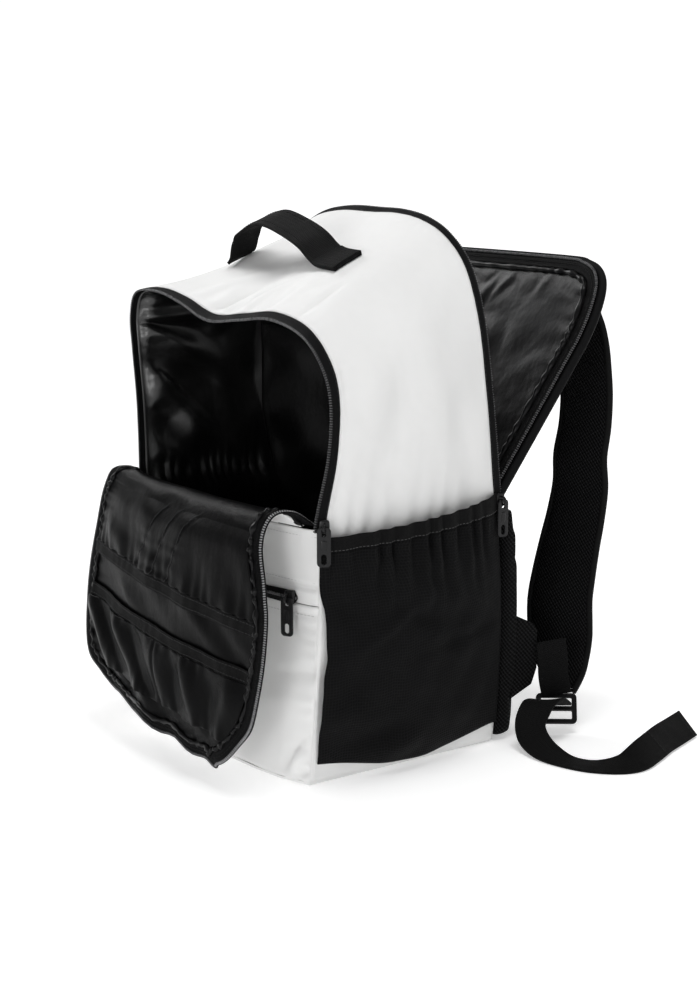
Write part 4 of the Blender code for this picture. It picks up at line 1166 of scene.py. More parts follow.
def hard(name, colour, roughness, wear, gloss):
    """Moulded plastic or painted metal: fine grain, with lighter rubbed places."""
    finish = Finish(name, Specular_IOR_Level=gloss)
    rubbed = finish.noise(340.0, 4.0)
    grain = finish.noise(2200.0, 2.0)
    finish.colour(colour, tinted(colour, wear), rubbed)
    feed(finish.tree, finish.shader.inputs["Roughness"], roughness + 0.16 * rubbed)
    finish.relief((grain, 0.00004),)
    return finish.material


def thread(name, colour):
    """Sewing thread: a fine twist."""
    finish = Finish(name, Specular_IOR_Level=0.15)
    twist = finish.noise(1500.0, 2.0)
    finish.colour(tinted(colour, 0.8), tinted(colour, 1.15), twist)
    feed(finish.tree, finish.shader.inputs["Roughness"], 0.55 + 0.2 * twist)
    finish.relief((twist, 0.0001),)
    return finish.material


FINISHES = {
    "white": white_polyester,
    # The lining and divider satins are darker copies of the rear panel's: painted shade inside the bag. The
    # flap's darker, duller copy paints the shade on its front.
    "satin": lambda: satin("lining_satin", 0.55, 0.0014, 0.20, True),
    "rear_satin": lambda: satin("rear_satin", 1.0, 0.0010, 0.14),
    "shaded_divider_satin": lambda: satin("divider_satin", 0.55, 0.0008),
    "flap_satin": lambda: satin("flap_satin", 0.6, 0.0009, 0.05),
    "ripstop": ripstop,
    "mesh": air_mesh,
    "webbing": webbing,
    "hem": lambda: webbing("hem_tape", 0.0011),
    "tape": zip_tape,
    "teeth": lambda: hard("coil_teeth", (0.045, 0.045, 0.047), 0.20, 1.8, 0.5),
    # Lighter teeth on the same black coil: a painted highlight for the flap's right edge, where the coil
    # catches the light.
    "painted_highlight_teeth": lambda: hard("coil_teeth_painted_highlight", (0.17, 0.17, 0.175), 0.20, 1.8, 0.6),
    "metal": lambda: hard("black_metal", (0.006, 0.006, 0.0065), 0.12, 1.5, 0.22),
    "plastic": lambda: hard("black_plastic", (0.004, 0.004, 0.0043), 0.16, 1.4, 0.25),
    "pale_thread": lambda: thread("pale_thread", (0.62, 0.62, 0.62)),
    "grey_thread": lambda: thread("grey_thread", (0.030, 0.030, 0.031)),
    "hem_thread": lambda: thread("hem_thread", (0.10, 0.10, 0.10)),
    "black_thread": lambda: thread("black_thread", (0.006, 0.006, 0.006)),
}
SLOTS = {
    "white": "white_cloth",
    "satin": "black_satin",
    "rear_satin": "black_satin",
    "shaded_divider_satin": "black_satin",
    "flap_satin": "black_satin",
    "ripstop": "black_mesh_cloth",
    "mesh": "black_mesh_cloth",
    "webbing": "black_webbing",
    "hem": "black_webbing",
    "tape": "zip_cloth",
    "teeth": "black_plastic",
    "painted_highlight_teeth": "black_plastic",
    "metal": "black_metal",
    "plastic": "black_plastic",
}
MADE = {}


def finish_of(name):
    """A material by its short name, made the first time it is asked for."""
    if name not in MADE:
        MADE[name] = FINISHES[name]()
    return MADE[name]


# Body pieces

def base_and_front():
    """The underside, the pocket panel and the strip above it, with their seams and zip."""
    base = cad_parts["base_panel"]
    base.data.materials.clear()
    base.data.materials.append(finish_of("white"))
    floor = BASE_THICKNESS + GAP
    seam = POCKET_ZIP_HEIGHT - POCKET_ZIP_WIDTH / 2
    top = HINGE_HEIGHT - CLOTH - LINING - GAP
    share = np.linspace(-1, 1, 121)
    levels = np.linspace(floor, seam, 65)
    wall = front_wall(levels, share, 1.2 * GAP)
    tall = (levels / seam)[None, :]
    slack = folds(share[:, None], tall, FRONT_FOLD_ROWS)
    slack = slack + 0.0008 * ripples(wall[..., 0], wall[..., 2], 0.06, 3)
    beside = (1 - np.abs(share[:, None])) * BODY_WIDTH / 2
    slack = slack + 0.0007 * puckers(wall[..., 2], beside, 0.013, 0.010, 5)
    hem = -0.0010 * np.exp(-((wall[..., 2] - POCKET_ZIP_HEIGHT + POCKET_HEM_DROP) / 0.0012) ** 2)
    held = smooth(tall / 0.04) * smooth((1 - np.abs(share[:, None])) / 0.02)
    panel = lifted(wall, (slack + hem) * held)
    surface("front_pocket_cloth", panel, "white", "front_pocket_panel", CLOTH)
    levels = np.linspace(seam + GAP, top, 43)
    wall = front_wall(levels, share, 1.2 * GAP)
    fold = smooth((wall[..., 2] - 0.1600) / 0.0014) - smooth((wall[..., 2] - 0.1535) / 0.0010)
    slack = 0.0006 * ripples(wall[..., 0], wall[..., 2], 0.05, 4)
    slack = slack + 0.0016 * fold * smooth((1 - np.abs(share[:, None])) / 0.03)
    strip = lifted(wall, slack * smooth((1 - np.abs(share[:, None])) / 0.02))
    surface("front_strip_cloth", strip, "white", "front_top_strip", CLOTH)
    reach = POCKET_ZIP_HALF / (BODY_WIDTH / 2)
    run = np.linspace(-reach, reach, 161)
    levels = np.linspace(seam, POCKET_ZIP_HEIGHT + POCKET_ZIP_WIDTH / 2, 13)
    tape = front_wall(levels, run)
    point = np.abs(levels - POCKET_ZIP_HEIGHT) / POCKET_ZIP_HALF
    tape[..., 0] *= 1 - point[None, :]
    tape = lifted(tape, np.full(tape.shape[:2], CLOTH + 3 * GAP))
    surface("pocket_zip_cloth", tape, "tape", "pocket_zip_tape", TAPE_THICKNESS)
    middle = lifted(tape, np.full(tape.shape[:2], TAPE_THICKNESS))[:, 6]
    normal = np.broadcast_to((0.0, -1.0, 0.0), middle.shape)
    teeth("pocket_zip_teeth", middle, normal, "teeth")
    lines = []
    for level in (POCKET_ZIP_HEIGHT - POCKET_HEM_DROP, *STRIP_SEAMS):
        line = front_wall(np.array([level]), np.linspace(-0.985, 0.985, 121))[:, 0]
        lines.append(raised(line, np.broadcast_to((0.0, -1.0, 0.0), line.shape), CLOTH + 0.0004))
    stitches("front_stitches", lines, "pale_thread")


def gusset_dents(stations, backs):
    """How far the white band stands out of its smooth shape: both fold tables together."""
    return folds(stations, backs, GUSSET_FOLD_ROWS) * 1.6 + 2.2 * folds(backs, stations, GUSSET_CREASE_ROWS)


def gusset_cloth():
    """The white band of both sides and the top, with soft dents and gathers over the pockets."""
    stations = np.linspace(0, LAST_STATION, 301)[:, None]
    backs = np.linspace(0, 1, 57)[None, :]
    low = smooth((HINGE_HEIGHT - HINGE_STEP - skin(stations, backs)[..., 2]) / 0.004)
    grid = skin(stations, backs - 0.009 * (1 - backs) * low)
    down, along = runs(grid)
    slack = gusset_dents(stations, backs)
    slack = slack + sizes().white_slack * ripples(down, along, 0.085, 11)
    level = grid[..., 2]
    above = np.clip(level - 0.200, 0.0, 1.0)
    gather = puckers(along, above, 0.021, 0.020, 21) * (level > 0.17) * smooth((level - 0.17) / 0.02)
    near_top = np.minimum(stations, LAST_STATION - stations) < 6.0
    slack = slack + 0.0012 * gather * near_top
    edge = np.minimum(backs, 1 - backs) * BODY_DEPTH
    slack = slack + 0.0005 * puckers(down, edge, 0.012, 0.008, 23)
    held = smooth(np.minimum(backs, 1 - backs) / 0.03) * smooth(level / 0.012)
    surface("gusset_cloth", lifted(grid, slack * held), "white", "gusset", CLOTH)


def lining_cloth():
    """The satin inside: big slack folds, puckers at its front seam, and a gathered seam low down."""
    stations = np.linspace(0, LAST_STATION, 281)[:, None]
    low = smooth((HINGE_HEIGHT - HINGE_STEP - skin(stations, 0.0)[..., 2]) / 0.003)
    start = -0.022 + 0.034 * low
    backs = start + (0.985 - start) * np.linspace(0, 1, 73)[None, :]
    grid = skin(stations, backs)
    down, along = runs(grid)
    inward = folds(stations, backs, LINING_FOLD_ROWS) + folds(backs, stations, LINING_CREASE_ROWS)
    inward = np.maximum(inward, 0.0) + np.maximum(-gusset_dents(stations, backs), 0.0) + 0.0006
    held = smooth((backs + 0.01) / 0.05)
    slack = 0.0012 * (1 + ripples(down, along, 0.050, 31)) * smooth(backs / 0.08)
    seam = np.maximum(0.0, puckers(down, backs * BODY_DEPTH, 0.011, 0.012, 33)) * 0.0026
    level = grid[..., 2]
    gather = np.maximum(0.0, 0.4 + puckers(along, level - 0.205, 0.010, 0.012, 35)) * 0.0030
    gather = gather * np.exp(-np.abs(level - 0.205) / 0.014) * smooth(backs / 0.1)
    inward = (inward + np.maximum(slack, 0) + seam + gather) * held + GAP
    surface("lining_cloth", lifted(grid, -inward), "satin", "lining", LINING, -1.0)


def divider_cloth():
    """The wall between the two compartments, slack, with a bound top edge."""
    inside = LINING + 4 * GAP
    levels = np.linspace(BASE_THICKNESS + 2 * GAP, DIVIDER_TOP, 71)
    right = skin(side_station(levels), DIVIDER_PLACE)
    left = skin(side_station(levels, True), DIVIDER_PLACE)
    half = BODY_WIDTH / 2
    ends = np.stack([np.maximum(left[:, 0] + inside, -half), np.minimum(right[:, 0] - inside, half)])
    share = np.linspace(0, 1, 71)[:, None]
    grid = np.stack([
        ends[0] * (1 - share) + ends[1] * share,
        np.broadcast_to(right[:, 1], (len(share), len(levels))),
        np.broadcast_to(levels, (len(share), len(levels))),
    ], axis=-1)
    held = smooth(np.minimum(share, 1 - share) / 0.06)
    slack = 0.0022 * ripples(grid[..., 0], grid[..., 2], 0.07, 41) * held
    grid = lifted(grid, slack)
    surface("divider_cloth", grid, "shaded_divider_satin", "divider", CLOTH)
    edge = grid[:, -1] + np.array([0.0, 0.0, 0.0006])
    tube("divider_binding", edge, 0.0016, "hem", 8, hint=(0.0, 1.0, 0.0))


def body_zips():
    """The tapes that carry on the gusset round both openings, each with its row of teeth."""
    start = HINGE_HEIGHT - SLIDER_LENGTH / 3
    reach = TAPE_WIDTH / BODY_DEPTH
    margin = GAP / BODY_DEPTH
    for name, edge, backs, outer in (
        ("front_body", 0, (-reach, -margin), 0),
        ("rear_body", 1, (1 + margin, 1 + reach), -1),
    ):
        low = side_station(start, True, edge)
        high = side_station(start, False, edge)
        stations = np.linspace(low, high, 301)[:, None]
        share = np.linspace(backs[0], backs[1], 9)[None, :]
        grid = skin(stations, share)
        crown = 0.0005 * np.sin(np.linspace(0, math.pi, 9))[None, :]
        grid = lifted(grid, np.broadcast_to(crown, grid.shape[:2]))
        surface(name + "_zip_cloth", grid, "tape", name + "_tape", TAPE_THICKNESS)
        normal = normals_of(grid)
        middle = lifted(grid, np.full(grid.shape[:2], TAPE_THICKNESS * 0.5))[:, outer]
        teeth(name + "_teeth", middle, normal[:, outer], "teeth")
        inner = 7 if outer == 0 else 1
        line = lifted(grid, np.full(grid.shape[:2], TAPE_THICKNESS + 0.0001))[:, inner]
        stitches(name + "_stitches", [(line, normal[:, inner])], "grey_thread")


# Front flap

def flap_slack(across, down):
    """The flap's own dents: the table's folds, slack, and puckers along its sides."""
    x = across * BODY_WIDTH / 2
    run = down * FLAP_LENGTH
    slack = folds(across, down, FLAP_FOLD_ROWS)
    slack = slack + 0.8 * folds(down, across, FLAP_DRAPE_ROWS) * smooth((down - 0.60) / 0.08)
    slack = slack + 0.0007 * ripples(x, run, 0.05, 51) * smooth(down / 0.2)
    return slack


def flap_held(across, down):
    """How freely the flap's cloth moves: 0 at its sewn edge, 1 from a seam's reach inside it."""
    scale = np.array([BODY_WIDTH / 2, FLAP_LENGTH])
    edge = flap_outline(TAPE_WIDTH, 6) * scale
    place = np.stack([across, down], axis=-1) * scale
    away = np.min(np.linalg.norm(place[:, :, None] - edge[None, None], axis=3), axis=2)
    low = np.minimum(away, (FLAP_SEWN_END - down) * FLAP_LENGTH)
    return smooth(low / FLAP_SEAM_REACH)


def flap_cloth():
    """The folded-down flap: satin in front, white behind, tape, teeth and a puckered binding."""
    edge = TAPE_WIDTH + 2 * GAP
    across, down = flap_shares(edge, 97, 10)
    share = np.linspace(0, 1, 97)[None, :]
    beside = np.minimum(share, 1 - share) * BODY_WIDTH
    slack = flap_slack(across, down)
    slack = slack + 0.0010 * puckers(down * FLAP_LENGTH, beside, 0.012, 0.010, 53) * smooth(down / 0.2)
    slack = slack * flap_held(across, down)
    lining = flap_lift(across, down, slack)
    surface("flap_lining_cloth", lining, "flap_satin", "front_flap_lining", LINING, -1.0)
    behind = flap_lift(across, down, slack - LINING - GAP)
    shell = surface("flap_shell_cloth", behind, "white", "front_flap_shell", CLOTH, -1.0)
    outer = flap_outline(0.0, 16)
    inner = flap_outline(TAPE_WIDTH + 0.0020, 16)
    blend = np.linspace(0, 1, 9)[None, :, None]
    flat = outer[:, None, :] * (1 - blend) + inner[:, None, :] * blend
    tape = flap_place(flat[..., 0], flat[..., 1])[:, ::-1]
    surface("flap_zip_cloth", tape, "tape", "front_flap_tape", TAPE_THICKNESS, 0.0)
    normal = -normals_of(tape)
    turn = len(tape) * 11 // 20
    coil = tape[:, -2] + normal[:, -2] * 0.0007
    teeth("flap_teeth", coil[:turn + 1], normal[:turn + 1, -2], "teeth")
    # The coil down the flap's right side takes the lighter teeth, a painted highlight.
    teeth("flap_side_highlight_teeth", coil[turn:], normal[turn:, -2], "painted_highlight_teeth")
    line = tape[:, 4] + normal[:, 4] * (TAPE_THICKNESS / 2 + 0.0002)
    stitches("flap_edge_stitches", [(line, normal[:, 4])], "black_thread")
    bound = flap_outline(TAPE_WIDTH + 0.0016, 28)
    face = flap_place(bound[:, 0], bound[:, 1])
    run = np.concatenate([[0.0], np.cumsum(np.linalg.norm(np.diff(face, axis=0), axis=1))])
    swell_ = 0.0019 + 0.0007 * puckers(run, 0.0 * run, 0.009, 1.0, 55)
    sides = 12
    turn = np.linspace(0, 2 * math.pi, sides, endpoint=False)
    thick = swell_[:, None] * (1 + 0.2 * np.sin(turn * 2 + run[:, None] * 400))
    path = face + np.array([0.0, -0.0008, 0.0])
    tube("flap_binding", path, thick, "rear_satin", sides, hint=(0.0, -1.0, 0.3))


def flap_pockets():
    """The organiser on the flap: pen slots, a lower pocket, their bound hems and stitch lines."""
    margin = TAPE_WIDTH + 4 * GAP
    lift = 0.0012
    step = FLAP_HEM_WIDTH / FLAP_LENGTH
    across, down = flap_band(PEN_POCKET_TOP, PEN_HEM_PLACE, 49, 129, margin)
    top = (down - PEN_POCKET_TOP) / (PEN_HEM_PLACE - PEN_POCKET_TOP)
    slack = flap_slack(across, down) + (lift + 0.0018) * smooth(top / 0.35) - 0.0012
    run = down * FLAP_LENGTH
    x = across * BODY_WIDTH / 2
    for number, (start, end) in enumerate(PEN_STITCH_ROWS):
        line = (start + (end - start) * np.clip(top, 0, 1) ** 0.55) * BODY_WIDTH / 2
        slack = slack - 0.0006 * np.exp(-((x - line) / 0.0011) ** 2)
        slack = slack + 0.0007 * puckers(run, x - line, 0.011, 0.006, 61 + number) * smooth(top * 2 - 0.6)
    slack = slack + 0.0007 * puckers(x, run[-1:] - run, 0.013, 0.012, 65)
    grid = flap_lift(across, down, slack)
    surface("pen_pocket_cloth", grid, "flap_satin", "pen_pocket", LINING * 0.7)
    lines = []
    for start, end in PEN_STITCH_ROWS:
        share = np.linspace(0, 1, len(grid))
        row = np.interp((start + (end - start) * share ** 0.55), across[24], np.arange(129))
        column = np.clip(row.round().astype(int), 0, 128)
        normal = normals_of(grid)[np.arange(len(grid)), column]
        lines.append(raised(grid[np.arange(len(grid)), column], normal, 0.0009))
    hems = (("pen_pocket_hem", PEN_HEM_PLACE, 71), ("flap_pocket_hem", FLAP_HEM_PLACE, 73))
    for name, place, seed in hems:
        across, down = flap_band(place, place + step, 13, 181, margin)
        x = across * BODY_WIDTH / 2
        slack = flap_slack(across, down) + lift + 0.0007
        slack = slack + 0.0002 * puckers(x, 0.0 * x, 0.014, 1.0, seed)
        hem = flap_lift(across, down, slack)
        surface(name + "_cloth", hem, "hem", name, 0.0006, slot="black_satin")
        normal = normals_of(hem)
        for row in (2, 10):
            lines.append(raised(hem[row], normal[row], 0.0007))
    stitches("flap_stitches", lines, "grey_thread")
    across, down = flap_band(FLAP_HEM_PLACE + step, FLAP_POCKET_END, 49, 129, margin)
    x = across * BODY_WIDTH / 2
    run = down * FLAP_LENGTH
    slack = flap_slack(across, down) * 1.3 + lift + 0.0012
    slack = slack - 0.0016 * np.exp(-((x + 0.006) / 0.0018) ** 2)
    slack = slack + 0.0005 * puckers(x, run - run[:1], 0.015, 0.008, 75)
    slack = slack + 0.0007 * puckers(x, run[-1:] - run, 0.013, 0.008, 77)
    low = flap_lift(across, down, np.maximum(slack, lift * 0.6))
    surface("flap_pocket_cloth", low, "flap_satin", "flap_pocket", LINING * 0.7)


# Rear

def rear_cloth():
    """The leaning panel: a padded mesh back, a satin face, piping, tape and teeth."""
    edge = TAPE_WIDTH + 2 * GAP
    across, up = rear_shares(edge, 81, 10)
    face = rear_place(across, up, 0.0)
    half = BODY_WIDTH / 2
    share = np.linspace(0, 1, 81)[None, :]
    beside = np.minimum(share, 1 - share) * BODY_WIDTH
    slack = folds(across / half, up / REAR_PANEL_LENGTH, REAR_FOLD_ROWS)
    slack = slack + 0.0006 * ripples(across, up, 0.06, 81)
    slack = slack + 0.0009 * puckers(up, beside, 0.016, 0.010, 83)
    held = smooth(beside / 0.004)
    lining = lifted(face, -np.abs(slack) * held)
    surface("rear_lining_cloth", lining, "rear_satin", "rear_panel_lining", LINING)
    outer = rear_outline(0.0, 16)
    inner = rear_outline(TAPE_WIDTH, 16)
    blend = np.linspace(0, 1, 9)[None, :, None]
    flat = outer[:, None, :] * (1 - blend) + inner[:, None, :] * blend
    tape = rear_place(flat[..., 0], flat[..., 1], LINING - TAPE_THICKNESS)[:, ::-1]
    surface("rear_zip_cloth", tape, "tape", "rear_panel_tape", TAPE_THICKNESS)
    corner = np.zeros(1)
    normal = rear_place(corner, corner, 0.0) - rear_place(corner, corner, 1.0)
    normal = np.broadcast_to(normal, tape[:, 0].shape)
    teeth("rear_teeth", tape[:, -1] + normal * 0.0002, normal, "teeth")
    stitches("rear_edge_stitches", [(tape[:, 4] + normal * 0.0004, normal)], "black_thread")
    bound = rear_outline(TAPE_WIDTH + 0.0030, 28)
    path = rear_place(bound[:, 0], bound[:, 1], -0.0008)
    run = np.concatenate([[0.0], np.cumsum(np.linalg.norm(np.diff(path, axis=0), axis=1))])
    radius = 0.0023 + 0.0006 * puckers(run, 0.0 * run, 0.012, 1.0, 85)
    tube("rear_piping", path, radius[:, None], "rear_satin", 12, hint=tuple(normal[0]))
    rim = rear_outline(-0.0015, 24)
    path = rear_place(rim[:, 0], rim[:, 1], LINING + 0.0045)
    tube("rear_rim", path, RIM_RADIUS, "tape", 14, slot="black_webbing", hint=tuple(normal[0]))
    across, up = rear_shares(-0.0030, 61, 8)
    front = rear_place(across, up, LINING + 2 * GAP)
    lean = np.sin(np.linspace(0, math.pi, 61))[None, :] ** 0.5
    tall = np.clip(up / REAR_PANEL_LENGTH, 0, 1)
    rise = lean * np.sqrt(np.clip(np.sin(math.pi * (0.04 + 0.92 * tall)), 0, 1))
    behind = rear_place(across, up, LINING + 2 * GAP + 0.007 + (REAR_PANEL_PAD - 0.009) * rise)
    pad = closed_pad("rear_pad", front, behind, "rear_panel")
    rim = rear_outline(0.0, 16)
    centre = rear_place(rim[:, 0], rim[:, 1], LINING + GAP)

    def sewn(points):
        """Points near the panel's rim, or near its face."""
        away = np.min(np.linalg.norm(points[:, None] - centre[None, ::4], axis=2), axis=1)
        depth = (points - centre[0]) @ -normal[0]
        return (away < 0.010) | (depth < 0.006)

    swell(pad, voxel=0.0047, pressure=3.0, cap=0.005, pinned=sewn)


def closed_pad(name, front, behind, node):
    """A pad between two grids of the same outline: both faces and the wall that joins their rims."""
    rows, columns = front.shape[:2]
    index = np.arange(rows * columns).reshape(rows, columns)
    rim = np.concatenate([index[0, :-1], index[:-1, -1], index[-1, :0:-1], index[:0:-1, 0]])
    corners = (index[:-1, :-1], index[1:, :-1], index[1:, 1:], index[:-1, 1:])
    faces = np.stack([corner.ravel() for corner in corners], axis=1)
    shift = rows * columns
    wall = np.stack([rim, np.roll(rim, -1), np.roll(rim, -1) + shift, rim + shift], axis=1)
    mesh = bpy.data.meshes.new(name)
    points = np.vstack([front.reshape(-1, 3), behind.reshape(-1, 3)])
    every = np.vstack([faces, faces[:, ::-1] + shift, wall])
    mesh.from_pydata(points.tolist(), [], every.tolist())
    mesh.update()
    volume = signed_volume(mesh)
    if volume < 0:
        mesh.flip_normals()
    return settle(name, mesh, "mesh", node)


def signed_volume(mesh):
    """Six times the volume that a mesh encloses, below zero when its faces point inwards."""
    mesh.calc_loop_triangles()
    corner = np.empty(len(mesh.loop_triangles) * 3, np.int32)
    mesh.loop_triangles.foreach_get("vertices", corner)
    points = np.empty(len(mesh.vertices) * 3, np.float32)
    mesh.vertices.foreach_get("co", points)
    a, b, c = np.moveaxis(points.reshape(-1, 3)[corner.reshape(-1, 3)], 1, 0)
    return float(np.sum(a * np.cross(b, c)))


def lower_back():
    """The fixed padded back below the leaning panel."""
    lean = math.radians(REAR_LEAN)
    top = HINGE_HEIGHT - (REAR_PANEL_PAD + LINING + GAP) * math.sin(lean) - 2 * GAP
    levels = np.linspace(BASE_THICKNESS + GAP, top, 41)
    share = np.linspace(-1, 1, 51)
    corner = skin(side_station(levels), 1.0)
    x = share[:, None] * (corner[None, :, 0] + 2 * CLOTH)
    z = np.broadcast_to(levels, x.shape)
    front = np.stack([x, np.full(x.shape, BODY_DEPTH / 2 + GAP), z], axis=-1)
    up = np.linspace(0, 1, len(levels))
    pad = LOWER_BACK_PAD * np.interp(up, LOWER_BACK_ROWS[:, 0], LOWER_BACK_ROWS[:, 1])
    side = (1 - np.abs(share[:, None]) ** 10) ** 0.5
    behind = front + np.array([0.0, 1.0, 0.0]) * ((pad[None, :] + 0.0020) * (0.97 + 0.03 * side))[..., None]
    made = closed_pad("lower_back_pad", front, behind, "lower_back_panel")

    def sewn(points):
        """Points near the body's back."""
        return points[:, 1] < BODY_DEPTH / 2 + 0.004

    swell(made, voxel=0.0050, pressure=2.0, cap=0.002, pinned=sewn)


# Side pockets

def side_pockets():
    """The two side pockets, gathered under their elastic hems, with a stitch line each."""
    rise = POCKET_TOP_FRONT - POCKET_BOTTOM
    for side, left in (("right", False), ("left", True)):
        order = slice(None) if left else slice(None, None, -1)
        cloth = pocket_grid(0.0, 1.0, 81, 181, left, sizes().gather_depth)
        name = "side_pocket_cloth_" + side
        piece = surface(name, cloth[order], "ripstop", "side_pocket_" + side, 0.001)
        hem = pocket_grid(1.0, 1.0 + POCKET_HEM_WIDTH / rise, 13, 181, left, sizes().gather_depth * 0.5)
        normal = normals_of(hem) * (1 if left else -1)
        crown = 0.0004 * np.sin(np.linspace(0, math.pi, 13))[:, None] + 0.0006
        hem = hem + normal * crown[..., None]
        name = "side_hem_cloth_" + side
        surface(name, hem[order], "hem", "side_pocket_hem_" + side, 0.0012)
        line = raised(hem[1], normal[1], 0.0013)
        stitches("side_hem_stitches_" + side, [line], "hem_thread", 0.0020, 0.0010, 0.00022)


# Straps

def top_height(x, y):
    """The height of the top surface above a place."""
    station = np.linspace(HINGE_LEFT + 4, HINGE_RIGHT - 3, 400)
    points = skin(station[:, None], np.linspace(0, 1, 200)[None, :]).reshape(-1, 3)
    near = np.argmin((points[:, 0] - x) ** 2 + (points[:, 1] - y) ** 2)
    return points[near, 2] + CLOTH


def handle_webbing():
    """The arched handle: doubled webbing, sewn flat at both ends, with two stitch lines."""
    plan = HANDLE_ROWS[:, :2] * np.array([BODY_WIDTH / 2, BODY_DEPTH / 2])
    seat = HANDLE_THICKNESS / 2 + 2 * GAP
    lift = np.array([top_height(x, y) for x, y in plan]) + seat + HANDLE_ROWS[:, 2] * HANDLE_HEIGHT
    path = through(np.column_stack([plan, lift]), 14)
    across = []
    step = HANDLE_WIDTH / 2
    for (x, y), turn in zip((plan[0], plan[-1]), HANDLE_TURNS):
        aside = turn * step
        rise = top_height(x + aside, y + step) - top_height(x - aside, y - step)
        across.append((2 * aside, 2 * step, rise))
    share = np.linspace(0, 1, len(path))[:, None]
    slope = np.array(across[0]) * (1 - share) + np.array(across[1]) * share
    grid = band_grid(path, slope, HANDLE_WIDTH, 25)
    cross = np.linspace(-1, 1, 25)[None, :]
    grid = lifted(grid, np.broadcast_to(-0.0006 * cross ** 4, grid.shape[:2]))
    surface("handle_webbing", grid, "webbing", "grab_handle", HANDLE_THICKNESS, 0.0)
    normal = normals_of(grid)
    normal = normal * np.sign(normal[len(normal) // 2, 12, 2])
    half = HANDLE_THICKNESS / 2
    lines = [raised(grid[:, column], normal[:, column], half + STITCH_LIFT) for column in (4, 20)]
    stitches("handle_stitches", lines, "black_thread")
    patch = raised(grid[-22:], normal[-22:], half + 0.0008)[0]
    surface("handle_patch", patch, "hem", (), 0.0012, 0.0)


def back_face(level):
    """How far back the bag's back reaches at a height: the lower back, then the leaning panel."""
    lean = math.radians(REAR_LEAN)
    low = BODY_DEPTH / 2 + GAP + LOWER_BACK_PAD
    above = np.maximum(level - HINGE_HEIGHT, 0.0) * math.tan(lean)
    wall = (REAR_PANEL_PAD + LINING + GAP) / math.cos(lean)
    return np.maximum(low, skin(HINGE_RIGHT, 1.0)[1] + TAPE_WIDTH * 0.1 + above + wall)


def shoulder_straps():
    """The padded shoulder straps: mesh-covered foam, with bound edges, both sides alike."""
    rows = through(STRAP_ROWS, 2)
    level = rows[:, 2] * HINGE_HEIGHT
    rows[:, 0] = rows[:, 0] * BODY_WIDTH / 2
    rows[:, 1] = back_face(level) + rows[:, 1] * BODY_DEPTH / 2
    rows[:, 2] = level
    rows = through(rows, 7)
    path = rows[:, :3]
    across = across_from(rows[:, 3], 0.0 * rows[:, 3])
    grid = band_grid(path, across, rows[:, 4] * STRAP_WIDTH - 0.002, 25)
    cross = np.linspace(-1, 1, 25)[None, :]
    end = np.linspace(0, 1, len(path))[:, None]
    down, along = runs(grid)
    full = np.sqrt(np.clip(1 - np.abs(cross) ** 4, 0.30, 1)) * np.sqrt(smooth(end / 0.05) * 0.6 + 0.4)
    thin = 1 - 0.45 * smooth((end - 0.85) / 0.15)
    thick = (STRAP_THICKNESS - 0.002) / 2 * full * thin
    thick = thick + 0.0010 * puckers(down - 0.5 * along, (1 - end) * 0.3, 0.009, 0.020, 91)
    front = lifted(grid, thick)
    behind = lifted(grid, -thick)
    for side, turn in (("right", 1.0), ("left", -1.0)):
        flip = np.array([turn, 1.0, 1.0])
        name = "shoulder_strap_" + side
        pad = closed_pad("shoulder_pad_" + side, front * flip, behind * flip, name)
        rim = np.vstack([grid[:, 0], grid[:, -1]]) * flip

        def sewn(points, rim=rim):
            """Points near the strap's two edges."""
            away = np.min(np.linalg.norm(points[:, None] - rim[None, ::3], axis=2), axis=1)
            return away < 0.005

        swell(pad, voxel=0.0042, pressure=2.0, cap=0.003, pinned=sewn)
        for edge, column in (("outer", 0), ("inner", -1)):
            line = grid[:, column] * flip
            outward = unit(grid[:, column] - grid[:, 12])
            line = line - outward * flip * 0.0024
            turns = np.arange(10) * 2 * math.pi / 10
            oval = np.broadcast_to(0.0027 * (1 + 0.12 * np.cos(2 * turns))[None, :], (len(line), 10))
            name = "strap_binding_" + edge + "_" + side
            tube(name, line, oval, "hem", 10, hint=(1.0, 0.0, 0.0))


def loose_webbing():
    """The lower webbing to the lock and its free tail, with a sewn end, both sides alike."""
    size = np.array([BODY_WIDTH / 2, BODY_DEPTH / 2, HINGE_HEIGHT])
    for rows, name, steps in ((LOWER_WEBBING_ROWS, "lower_webbing_", 16), (TAIL_ROWS, "webbing_tail_", 12)):
        fine = through(rows, steps)
        across = across_from(fine[:, 3], fine[:, 4])
        grid = band_grid(fine[:, :3] * size, across, WEBBING_WIDTH, 21)
        for side, turn in (("right", 1.0), ("left", -1.0)):
            flip = np.array([turn, 1.0, 1.0])
            made = grid * flip
            surface(name + "cloth_" + side, made, "webbing", name + side, WEBBING_THICKNESS, 0.0)
            if name == "webbing_tail_":
                normal = normals_of(made)
                lift = WEBBING_THICKNESS / 2 + STITCH_LIFT
                lines = []
                for row in (-4, -30):
                    for face in (1.0, -1.0):
                        lines.append(raised(made[row], normal[row] * face, lift))
                stitches("tail_stitches_" + side, lines, "grey_thread")


